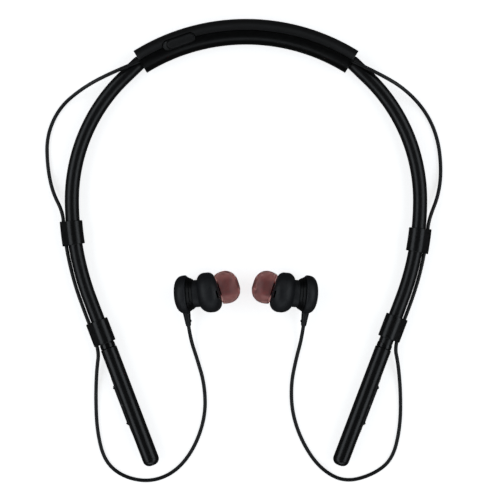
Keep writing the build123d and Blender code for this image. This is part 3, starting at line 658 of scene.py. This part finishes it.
def add_cord(side):
    route = CORD_ROUTES[side]
    curve = bpy.data.curves.new(f"{side}_cord_line", "CURVE")
    curve.dimensions = "3D"
    curve.resolution_u = 10
    curve.bevel_depth = CORD_DIAMETER / 2
    curve.bevel_resolution = 6
    curve.use_fill_caps = True
    spline = curve.splines.new("NURBS")
    spline.points.add(len(route) - 1)
    for point, place in zip(spline.points, route):
        point.co = (*place, 1)
    spline.order_u = 3
    spline.use_endpoint_u = True
    curve.materials.append(FINISHES["cord_jacket"])
    piece = bpy.data.objects.new(f"{side}_cord_line", curve)
    bpy.context.scene.collection.objects.link(piece)
    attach(piece, f"{side}_arm")
    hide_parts(f"{side}_cord")


for side in SIDES:
    add_cord(side)


# ---- neck pod ----
def pod_station(angle):
    """A frame on the pod's centreline: X points away from the neck, Y is up. Angle 0 is the middle."""
    out = Vector((math.sin(angle), math.cos(angle), 0))
    return basis(pod_centre + out * POD_ARC_RADIUS, out.cross(UP), out)


def shell_section(facing):
    """Half of the pod's wall, with eased edges at both seams; facing 1 is the outer half."""
    start = math.asin(SEAM_WIDTH / POD_RADIUS)
    section = [(facing * SEAM_HALF_GAP, POD_RADIUS - SEAM_DEPTH)]
    for step in range(SEAM_STEPS + 1):
        angle = start + (math.pi - 2 * start) * step / SEAM_STEPS
        section.append((facing * POD_RADIUS * math.sin(angle), POD_RADIUS * math.cos(angle)))
    section.append((facing * SEAM_HALF_GAP, SEAM_DEPTH - POD_RADIUS))
    for step in range(BORE_STEPS + 1):
        angle = math.pi * (1 - step / BORE_STEPS)
        out = POD_BORE * math.sin(angle) + SEAM_HALF_GAP
        section.append((facing * out, POD_BORE * math.cos(angle)))
    return section


def pod_shell(which, facing, slot):
    """One half of the pod, with the flap's recess cut out of its crown."""
    reach = POD_HALF_ANGLE + PLATE_RECESS / POD_ARC_RADIUS
    stations = [pod_station(reach * (2 * step / POD_STEPS - 1)) for step in range(POD_STEPS + 1)]
    points, faces = swept(stations, shell_section(facing))
    piece = make_piece(f"shell_{which}", points, faces, Matrix.Identity(4), "neck_pod", slot,
                       [f"pod_{which}_shell"])
    modify(piece, "BEVEL", width=SHELL_EDGE, segments=2, limit_method="ANGLE",
           angle_limit=math.radians(60))
    outline = stadium(FLAP_LENGTH + 2 * RECESS_GAP, FLAP_WIDTH + 2 * RECESS_GAP)
    cut(piece, *prism(outline, FLAP_SEAT_Z - FLAP_GAP, 3 * POD_RADIUS), flap_place)


pod_shell("outer", 1, "pod_shell")
# The inner half takes the darker colour, which is painted shade, not a different material.
pod_shell("inner", -1, "pod_lining")


def crown_height(x, y):
    """Height of the pod's surface at a point of the flap's own plane."""
    world = flap_place @ Vector((x, y, 0))
    off = (Vector((world.x, world.y)) - pod_centre.xy).length - POD_ARC_RADIUS
    return pod_centre.z + math.sqrt(POD_RADIUS**2 - off**2)


def flap_ring(inset, notch, drop, height=None):
    """One ring of the flap: its outline drawn in by inset, and by notch more at the free end."""
    ring = []
    width = FLAP_WIDTH - 2 * inset
    for point in stadium(FLAP_LENGTH - 2 * inset - notch, width, 20):
        x = point.x + notch / 2
        z = height if height is not None else crown_height(x, point.y) - drop
        ring.append((x, point.y, z))
    return ring


# The flap's rings above its skirt, in order: how far each is drawn in, how much shorter it is at the
# free end, and its drop below the pod's surface. The two deepest make a groove, narrow along the
# sides and wide at the free end, where a nail goes in.
FLAP_RINGS = [
    (FLAP_DRAFT, 0, 0.2 * MM),
    (0.12 * MM, 0, 0.06 * MM),
    (0.22 * MM, 0, 0),
    (0.3 * MM, 0.1 * MM, 0.02 * MM),
    (0.36 * MM, 0.4 * NAIL_NOTCH, 0.3 * MM),
    (0.42 * MM, NAIL_NOTCH, 0.6 * MM),
    (0.46 * MM, NAIL_NOTCH + 0.1 * MM, 0.06 * MM),
    (0.56 * MM, NAIL_NOTCH + 0.2 * MM, -0.03 * MM),
]
FLAP_RINGS += [(inset * MM, NAIL_NOTCH + 0.2 * MM, -0.05 * MM) for inset in (0.8, 1.2, 1.6, 1.9)]


def port_flap():
    """The flap over the port, with the boss under it that plugs the port."""
    rings = [flap_ring(0, 0, 0, FLAP_SEAT_Z)] + [flap_ring(*ring) for ring in FLAP_RINGS]
    boss = prism(stadium(FLAP_BOSS_LENGTH, FLAP_BOSS_WIDTH),
                 FLAP_SEAT_Z - FLAP_BOSS_DROP, FLAP_SEAT_Z + FLAP_BOSS_OVERLAP)
    return joined(stacked(rings), boss)


make_piece("flap", *port_flap(), flap_place, "port_flap_body", "flap_rubber", ["port_flap"])


# ---- arms ----
upper_arc = (math.pi / 2 - ARM_HEADING) * ARM_UPPER_RADIUS
lower_arc = end_angle * ARM_LOWER_RADIUS
widest = bend_centre + Vector((ARM_LOWER_RADIUS, 0, 0))
upper_centre = widest - Vector((ARM_UPPER_RADIUS, 0, 0))


def arm_station(distance):
    """A frame on the arm's axis, this far from its root: X points outward, Y is up."""
    if distance < ARM_STUB:
        out = Vector((math.sin(ARM_HEADING), math.cos(ARM_HEADING), 0))
        origin = pivot - UP.cross(out) * distance
        return basis(origin, -UP.cross(out), out)
    distance -= ARM_STUB
    if distance < upper_arc:
        angle = math.pi / 2 - ARM_HEADING - distance / ARM_UPPER_RADIUS
        out = Vector((math.cos(angle), math.sin(angle), 0))
        return basis(upper_centre + out * ARM_UPPER_RADIUS, -UP.cross(out), out)
    distance -= upper_arc
    if distance < lower_arc:
        angle = -distance / ARM_LOWER_RADIUS
        out = Vector((math.cos(angle), math.sin(angle), 0))
        return basis(bend_centre + out * ARM_LOWER_RADIUS, -UP.cross(out), out)
    return basis(straight_start + rod_way * (distance - lower_arc), rod_way, rod_out)


arm_length = ARM_STUB + upper_arc + lower_arc + ARM_STRAIGHT


def circle_of(radius, count):
    turns = [2 * math.pi * step / count for step in range(count)]
    return [(radius * math.cos(turn), radius * math.sin(turn)) for turn in turns]


def arm_ring(station, radius):
    return [station @ Vector((x, y, 0)) for x, y in circle_of(radius, ARM_SIDES)]


def arm_sleeve():
    """The sleeve, with its round root in the end plate and its end inside the ferrule."""
    rings = []
    for step in range(1, ARM_ROOT_STEPS):
        angle = math.pi / 2 * step / ARM_ROOT_STEPS
        station = arm_station(0) @ Matrix.Translation((0, 0, -ARM_RADIUS * math.cos(angle)))
        rings.append(arm_ring(station, ARM_RADIUS * math.sin(angle)))
    for step in range(ARM_STATIONS + 1):
        distance = (arm_length + SLEEVE_TAIL) * step / ARM_STATIONS
        rings.append(arm_ring(arm_station(distance), ARM_RADIUS))
    return stacked(rings)


# ---- clips ----
def clip_reach(angle, arm_circle, lobe_circle, hull):
    """Distance from the arm's axis to the clip's surface.

    With hull, the surface is a skin stretched over both circles, and not just the two circles."""
    reach = 0
    steps = HULL_STEPS if hull else 1
    for step in range(steps + 1):
        share = step / steps
        offset = LOBE_OFFSET * share
        radius = arm_circle * (1 - share) + lobe_circle * share
        side = offset * math.sin(angle)
        if abs(side) < radius:
            reach = max(reach, offset * math.cos(angle) + math.sqrt(radius**2 - side**2))
    return reach


def clip(stations_from):
    """A clip as a closed band round the arm; stations_from gives the arm's frame at a distance."""
    half = CLIP_LENGTH / 2
    rim = []
    for step in range(RIM_STEPS + 1):
        angle = math.pi / 2 * step / RIM_STEPS
        rim.append((half - CLIP_EDGE * (1 - math.sin(angle)), CLIP_EDGE * (1 - math.cos(angle))))
    outside = [(-along, inset) for along, inset in reversed(rim)]
    outside += [(half * (2 * step / CLIP_ROWS - 1) * CLIP_FLAT_SHARE, 0)
                for step in range(1, CLIP_ROWS)]
    outside += rim
    inside = [(half * (1 - 2 * step / CLIP_ROWS), None) for step in range(CLIP_ROWS + 1)]
    points = []
    for along, inset in outside + inside:
        station = stations_from(along)
        for column in range(CLIP_COLUMNS):
            angle = 2 * math.pi * column / CLIP_COLUMNS
            if inset is None:
                reach = clip_reach(angle, CLIP_BORE, LOBE_BORE, False)
            else:
                reach = clip_reach(angle, CLIP_OUTER, LOBE_OUTER, True) - inset
            points.append(station @ Vector((reach * math.cos(angle), reach * math.sin(angle), 0)))
    return points, grid_faces(len(outside + inside), CLIP_COLUMNS, True, True)


def clip_distance(side, which):
    """How far along the arm a clip sits, from its CAD node's middle."""
    place = on_side(Matrix.Translation(middle_of(f"{side}_{which}_clip")), side).translation
    if which == "lower":
        return ARM_STUB + upper_arc + lower_arc + (place - straight_start).dot(rod_way)
    angle = math.atan2(place.y - bend_centre.y, place.x - bend_centre.x)
    return ARM_STUB + upper_arc - angle * ARM_LOWER_RADIUS


# ---- rods ----
def ferrule():
    """Collar between the arm and the rod, tapered where it meets the rod."""
    inner = ARM_RADIUS - 0.3 * MM
    outline = rounded(
        [(ARM_RADIUS, -FERRULE_LENGTH), (FERRULE_RADIUS, -FERRULE_LENGTH),
         (FERRULE_RADIUS, -0.3 * MM), (FERRULE_RADIUS - 0.2 * MM, 0),
         (inner, 0.2 * MM), (inner, -0.5 * MM)],
        [0.12 * MM, 0.1 * MM, 0.05 * MM, 0.05 * MM],
    )
    return lathe(outline)


def rod_tube():
    outline = rounded(
        [(ROD_BORE, 0), (ROD_RADIUS, 0), (ROD_RADIUS, ROD_LENGTH), (ROD_BORE, ROD_LENGTH)],
        [ROD_EDGE, ROD_SEAM_EDGE],
    )
    return lathe(outline)


def rod_cap():
    start = ROD_LENGTH + ROD_CAP_GAP
    end = ROD_LENGTH + ROD_CAP_LENGTH
    outline = rounded(
        [(0, start), (ROD_RADIUS, start), (ROD_RADIUS, end), (0, end)],
        [ROD_SEAM_EDGE, ROD_CAP_EDGE],
    )
    return lathe(outline)


def side_outline(length, width, corner):
    """A rounded rectangle, its length along X, centred on the origin."""
    outline = []
    for quarter, (x, y) in enumerate(((1, 1), (-1, 1), (-1, -1), (1, -1))):
        for step in range(CORNER_STEPS + 1):
            angle = math.pi / 2 * (quarter + step / CORNER_STEPS)
            outline.append((x * (length / 2 - corner) + corner * math.cos(angle),
                            y * (width / 2 - corner) + corner * math.sin(angle)))
    return outline


def side_ring(length, width, corner, inset, radius):
    """A ring on the rod's outward side, this far from the rod's axis. X is out, Z along the rod."""
    smallest = 0.05 * MM
    outline = side_outline(length - 2 * inset, width - 2 * inset, max(corner - inset, smallest))
    return [(math.sqrt(radius**2 - across**2), across, PANEL_PLACE + along)
            for along, across in outline]


def side_block(length, width, corner, base, radius, edge):
    """A rounded bar let into the rod, its face following the rod, its rim eased."""
    rings = [side_ring(length, width, corner, 0, base)]
    for step in range(RIM_STEPS + 1):
        angle = math.pi / 2 * step / RIM_STEPS
        rings.append(side_ring(length, width, corner, edge * (1 - math.cos(angle)),
                               radius - edge * (1 - math.sin(angle))))
    for share in (0.4, 0.7, 0.95):
        rings.append(side_ring(length, width, corner, width / 2 * share, radius))
    return stacked(rings)


def rocker_key():
    """The rocking key: a bar with a round rib across it near each end."""
    solids = [side_block(KEY_LENGTH, KEY_WIDTH, KEY_CORNER,
                         ROD_RADIUS - KEY_SUNK, ROD_RADIUS + KEY_PROUD, KEY_EDGE)]
    half = KEY_WIDTH / 2 - NUB_MARGIN
    for end in (-1, 1):
        place = PANEL_PLACE + end * (KEY_LENGTH / 2 - NUB_FROM_END)
        outline = rounded([(0, -half), (NUB_RADIUS, -half), (NUB_RADIUS, half), (0, half)],
                          [NUB_EDGE, NUB_EDGE])
        nub = moved(lathe(outline, 32), Matrix.Rotation(-math.pi / 2, 4, "X"))
        centre = ROD_RADIUS + KEY_PROUD - NUB_HEIGHT / 2
        solids.append(moved(nub, Matrix.Translation((centre, 0, place))))
    return joined(*solids)


# ---- earbuds ----
def barrel_side(angle, inset):
    """Outline of the barrel at one angle round it, from its rear face to its front's middle."""
    radius = BARREL_RADIUS - inset
    rear = BARREL_REAR - inset
    middle = (BARREL_FRONT - inset) / front_normal.z
    slope = (front_normal.x * math.cos(angle) + front_normal.y * math.sin(angle)) / front_normal.z
    corner = Vector((radius, middle - slope * radius))
    length = rear - corner.y
    radii = [SHOULDER_SHARE * length, FRONT_RADIUS + FRONT_SHARE * length - inset / 2]
    points = [(REAR_OPENING, rear), (radius, rear), corner, (FRONT_PINHOLE, middle)]
    return rounded(points, radii, BARREL_CORNER_STEPS)


def barrel_half(angle, inset, front):
    """The part of that outline ahead of the seam, or behind it."""
    outline = barrel_side(angle, inset)
    crossing = next(index for index, point in enumerate(outline) if point.y < BARREL_SEAM)
    above = outline[crossing - 1]
    below = outline[crossing]
    split = above.lerp(below, (above.y - BARREL_SEAM) / (above.y - below.y))
    part = [split] + outline[crossing:] if front else outline[:crossing] + [split]
    return evenly_spaced(part, BARREL_ROWS)


def barrel_shell(front):
    """Half of the barrel as a closed wall, built up angle by angle."""
    points = []
    for step in range(SEGMENTS):
        angle = 2 * math.pi * step / SEGMENTS
        outside = barrel_half(angle, 0, front)
        inside = barrel_half(angle, BARREL_WALL, front)
        for radius, height in outside + inside[::-1]:
            points.append((radius * math.cos(angle), radius * math.sin(angle), height))
    rows = len(points) // SEGMENTS
    return points, grid_faces(SEGMENTS, rows, True, True)


def nozzle():
    """Spout with a barb near its end that holds the ear tip."""
    foot = BARREL_FRONT - NOZZLE_FOOT
    mouth = NOZZLE_END - 0.1 * MM
    outline = rounded(
        [(NOZZLE_BORE, foot), (NOZZLE_RADIUS, foot),
         (NOZZLE_RADIUS, BARB_FROM), (BARB_RADIUS, BARB_FROM + 0.1 * MM),
         (BARB_RADIUS, BARB_TO - 0.4 * MM), (NOZZLE_RADIUS, mouth),
         (NOZZLE_BORE + 0.1 * MM, NOZZLE_END), (NOZZLE_BORE, mouth)],
        [0.05 * MM, 0.04 * MM, 0.04 * MM, 0.1 * MM, 0.08 * MM, 0.04 * MM],
    )
    return lathe(outline, 64)


def neck():
    inner = NECK_RADIUS - BARREL_WALL
    start = BARREL_REAR - BARREL_WALL
    outline = rounded(
        [(inner, start), (NECK_RADIUS, start), (NECK_RADIUS, NECK_END), (inner, NECK_END)],
        [NECK_EDGE, NECK_EDGE],
    )
    return lathe(outline)


def bud_ring():
    """Two tapered bands with a thin groove between them and another before the cap."""
    start, middle, end = RING_RADII
    first_end = RING_START + RING_WIDTH
    second = first_end + RING_GROOVE
    second_end = second + RING_WIDTH
    tongue = CAP_START + RING_TONGUE
    outline = rounded(
        [(RING_INNER, RING_START), (start, RING_START), (middle, first_end),
         (middle - GROOVE_DEPTH, first_end), (middle - GROOVE_DEPTH, second), (middle, second),
         (end, second_end), (RING_CORE, second_end), (RING_CORE, tongue), (RING_INNER, tongue)],
        [0.2 * MM, RING_EDGE, 0.02 * MM, 0.02 * MM, RING_EDGE, RING_EDGE, 0.03 * MM, 0.03 * MM],
    )
    return lathe(outline)


def bud_cap():
    """Domed cap; its outer face eases into its side, and the middle stays flat over the magnet."""
    rise = CAP_START + CAP_INNER_EDGE
    inner = RING_CORE + CAP_CLEARANCE
    outline = rounded(
        [(inner, CAP_START + CAP_LIP), (inner, CAP_START), (CAP_RADIUS, CAP_START), (CAP_RADIUS, rise)],
        [0.15 * MM, CAP_INNER_EDGE * 0.95],
    )
    for step in range(1, CAP_STEPS + 1):
        angle = math.pi / 2 * step / CAP_STEPS
        radius = CAP_RADIUS * math.cos(angle) ** (2 / CAP_ROUNDNESS)
        height = rise + (CAP_END - rise) * math.sin(angle) ** (2 / CAP_ROUNDNESS)
        outline.append(Vector((max(radius, CAP_PINHOLE), height)))
    outline.append(Vector((CAP_PINHOLE, CAP_START + CAP_LIP)))
    return lathe(outline)


def strain_relief():
    """Tapered sleeve with a rounded mouth and a small bump on its inner side."""
    outline = rounded(
        [(0, RELIEF_FROM), (RELIEF_ROOT + RELIEF_FLARE, RELIEF_FROM),
         (RELIEF_ROOT, RELIEF_FROM + 1.6 * MM), (RELIEF_END + RELIEF_FLARE, RELIEF_TO - 1.3 * MM),
         (RELIEF_END, RELIEF_TO), (0, RELIEF_TO)],
        [0.1 * MM, 0.5 * MM, 0.3 * MM, 0.16 * MM],
    )
    bump = []
    for step in range(BUMP_STEPS + 1):
        angle = math.pi * step / BUMP_STEPS
        bump.append((BUMP_RADIUS * math.sin(angle), -BUMP_HALF_LENGTH * math.cos(angle)))
    bump[0] = (0, bump[0][1])
    bump[-1] = (0, bump[-1][1])
    place = Matrix.Translation((-RELIEF_END - BUMP_PROUD, 0, RELIEF_TO - BUMP_FROM_END))
    return joined(lathe(outline, 48), moved(lathe(bump, 24), place))


def tip_curve(inset, nose):
    """Side of the dome from its rim, out to its widest, then round to its nose."""
    curve = []
    widest = TIP_RADIUS - inset
    for step in range(TIP_SIDE_STEPS):
        bend = 1 - step / TIP_SIDE_STEPS
        curve.append(Vector((widest - (TIP_RADIUS - TIP_RIM) * bend**2,
                             TIP_WIDEST - (TIP_WIDEST - TIP_START) * bend)))
    reach, end = nose
    bow = ((widest - reach)**2 + (end - TIP_WIDEST)**2) / (2 * (widest - reach))
    for step in range(TIP_DOME_STEPS + 1):
        height = TIP_WIDEST + (end - TIP_WIDEST) * math.sin(math.pi / 2 * step / TIP_DOME_STEPS)
        curve.append(Vector((widest - bow + math.sqrt(bow**2 - (height - TIP_WIDEST)**2), height)))
    return curve


def ear_tip():
    """Thin mushroom dome with a rolled lip round its sound hole."""
    outer = tip_curve(0, (TIP_BORE + TIP_LIP, TIP_END - 0.12 * MM))
    inner = tip_curve(TIP_SKIN, (NOSE_HOLLOW, NOSE_FLOOR))
    nose = [(TIP_BORE + 0.45 * MM, TIP_END - 0.02 * MM), (TIP_BORE + 0.25 * MM, TIP_END),
            (TIP_BORE + 0.06 * MM, TIP_END - 0.1 * MM), (TIP_BORE, TIP_END - 0.35 * MM),
            (TIP_BORE, NOSE_FLOOR)]
    rim = [Vector((outer[0].x - TIP_SKIN / 2, TIP_START - 0.12 * MM))]
    return lathe(outer + [Vector(point) for point in nose] + inner[::-1] + rim)


def tip_core():
    outline = rounded(
        [(CORE_BORE, TIP_START + 0.2 * MM), (CORE_RADIUS, TIP_START + 0.2 * MM),
         (CORE_RADIUS, NOSE_FLOOR + 0.04 * MM), (CORE_BORE, NOSE_FLOOR + 0.04 * MM)],
        [0.25 * MM, 0.1 * MM],
    )
    return lathe(outline)


# Where holes are cut. In the rod's own frame, Z points out of the rod's side and X runs along it.
panel_frame = basis((0, 0, PANEL_PLACE), (1, 0, 0), (0, 0, 1))
mic_frame = basis((0, 0, MIC_PLACE), (1, 0, 0), (0, 0, 1))
# In the nozzle's frame, the vent goes in through the barrel's side, its length across.
vent_frame = basis((0, VENT_SIDE, BARREL_FRONT - VENT_BACK - VENT_WIDTH / 2), (1, 0, 0), (0, 1, 0))


def make_rod(side, rod):
    """The rod with its ferrule, end cap, key bezel and key. The right one has a microphone's hole."""
    arm = f"{side}_arm"
    make_piece(f"{side}_ferrule", *ferrule(), rod, arm, "ferrule", [f"{side}_rod_ferrule"])
    tube = make_piece(f"{side}_rod", *rod_tube(), rod, arm, "rod_metal", [f"{side}_rod_tube"])
    panel_hole = side_outline(PANEL_LENGTH + 2 * PANEL_GAP, PANEL_WIDTH + 2 * PANEL_GAP, PANEL_CORNER)
    floor_level = ROD_RADIUS - PANEL_SUNK - PANEL_GAP
    cut(tube, *prism(panel_hole, floor_level, 2 * ROD_RADIUS), rod @ panel_frame)
    if side == "right":
        circle = stadium(2 * MIC_HOLE + 0.001 * MM, 2 * MIC_HOLE, 12)
        cut(tube, *prism(circle, ROD_BORE - 0.5 * MM, 2 * ROD_RADIUS), rod @ mic_frame)
    make_piece(f"{side}_rod_tip", *rod_cap(), rod, arm, "rod_cap", [f"{side}_rod_end_cap"])
    bezel = side_block(PANEL_LENGTH, PANEL_WIDTH, PANEL_CORNER,
                       ROD_RADIUS - PANEL_SUNK, ROD_RADIUS + PANEL_PROUD, PANEL_EDGE)
    panel = make_piece(f"{side}_bezel", *bezel, rod, arm, "key_panel", [f"{side}_key_panel"])
    key_hole = side_outline(KEY_LENGTH + 2 * KEY_GAP, KEY_WIDTH + 2 * KEY_GAP, KEY_HOLE_CORNER)
    cut(panel, *prism(key_hole, 0, 2 * ROD_RADIUS), rod @ panel_frame)
    make_piece(f"{side}_key", *rocker_key(), rod, f"{side}_key_body", "key_plastic",
               [f"{side}_rocker_key"])


def make_bud(side, bud, nozzle_frame):
    """The earbud: barrel, nozzle, rear shell, ring, cap, strain relief and ear tip."""
    arm = f"{side}_arm"
    tip = f"{side}_tip_body"
    housing = make_piece(f"{side}_barrel", *barrel_shell(True), bud, arm, "bud_plastic",
                         [f"{side}_bud_housing"])
    vent = prism(stadium(VENT_LENGTH, VENT_WIDTH, 12),
                 -BARREL_RADIUS - VENT_OUTSIDE, -BARREL_RADIUS + VENT_INSIDE)
    cut(housing, *vent, nozzle_frame @ vent_frame)
    bore = prism(circle_of(NOZZLE_BORE, HOLE_SIDES), BORE_START, NOZZLE_END)
    cut(housing, *bore, nozzle_frame)
    make_piece(f"{side}_nozzle", *nozzle(), nozzle_frame, arm, "bud_plastic", [])
    rear = joined(barrel_shell(False), neck())
    make_piece(f"{side}_rear_shell", *rear, bud, arm, "bud_plastic", [f"{side}_bud_rear_shell"])
    make_piece(f"{side}_ring", *bud_ring(), bud, arm, "ring_plastic", [f"{side}_bud_ring"])
    make_piece(f"{side}_cap", *bud_cap(), bud, arm, "bud_plastic", [f"{side}_bud_cap"])
    make_piece(f"{side}_relief", *strain_relief(), on_side(relief_place, side), arm,
               "relief_rubber", [f"{side}_strain_relief"])
    make_piece(f"{side}_dome", *ear_tip(), nozzle_frame, tip, "tip_silicone", [f"{side}_ear_tip"])
    make_piece(f"{side}_stem", *tip_core(), nozzle_frame, tip, "core_silicone", [f"{side}_tip_core"])


for side in SIDES:
    here = on_side(Matrix.Identity(4), side)
    make_piece(f"{side}_sleeve", *arm_sleeve(), here, f"{side}_arm", "arm_rubber",
               [f"{side}_arm_sleeve"])
    for which in ("upper", "lower"):
        middle = clip_distance(side, which)
        band = clip(lambda along: arm_station(middle + along))
        make_piece(f"{side}_{which}_cord_clip", *band, here, f"{side}_{which}_clip_body",
                   "clip_rubber", [f"{side}_{which}_clip"])
    make_rod(side, on_side(rod_place, side))
    make_bud(side, on_side(bud_place, side), on_side(nozzle_place, side))


# ---- floor and lights ----
FLOOR_SHADE = 0.93
FLOOR_GLOW = 0.74
FLOOR_SIZE = 6.0
LAMP_COLOR = (0.88, 0.945, 1.0)
WORLD_GLOW = 0.05


def floor_material():
    material = bpy.data.materials.new("pale_floor")
    material.use_nodes = True
    principled = material.node_tree.nodes["Principled BSDF"]
    principled.inputs["Base Color"].default_value = (FLOOR_SHADE, FLOOR_SHADE, FLOOR_SHADE, 1)
    principled.inputs["Roughness"].default_value = 0.9
    principled.inputs["Specular IOR Level"].default_value = 0.1
    principled.inputs["Emission Color"].default_value = (1, 1, 1, 1)
    principled.inputs["Emission Strength"].default_value = FLOOR_GLOW
    return material


floor_mesh = bpy.data.meshes.new("floor")
half_floor = FLOOR_SIZE / 2
corners = [(x * half_floor, y * half_floor, 0) for x, y in ((-1, -1), (1, -1), (1, 1), (-1, 1))]
floor_mesh.from_pydata(corners, [], [(0, 1, 2, 3)])
floor = bpy.data.objects.new("floor", floor_mesh)
floor_mesh.materials.append(floor_material())
bpy.context.scene.collection.objects.link(floor)
# The floor doesn't light the object or mirror in it. It is seen directly and through the clear tips.
floor.visible_diffuse = False
floor.visible_glossy = False


def soft_box(name, place, size_x, size_y, power):
    """A rectangular lamp at this place, aimed at the middle of the object."""
    lamp = bpy.data.lights.new(name, "AREA")
    lamp.shape = "RECTANGLE"
    lamp.size = size_x
    lamp.size_y = size_y
    lamp.energy = power
    lamp.color = LAMP_COLOR
    light = bpy.data.objects.new(name, lamp)
    light.location = place
    light.rotation_euler = (-Vector(place)).to_track_quat("-Z", "Y").to_euler()
    bpy.context.scene.collection.objects.link(light)


soft_box("left_box", (-0.75, 0.0, 0.62), 1.6, 0.6, 3.6)
soft_box("right_box", (0.75, 0.0, 0.62), 1.6, 0.6, 3.6)
soft_box("back_box", (0.0, 1.0, 0.7), 1.2, 0.5, 0.7)
soft_box("front_box", (0.0, -1.0, 0.35), 1.2, 0.4, 1.6)

world = bpy.data.worlds.new("studio")
world.use_nodes = True
background = world.node_tree.nodes["Background"]
background.inputs["Color"].default_value = (1, 1, 1, 1)
background.inputs["Strength"].default_value = WORLD_GLOW
bpy.context.scene.world = world
bpy.context.scene.view_settings.view_transform = "Standard"
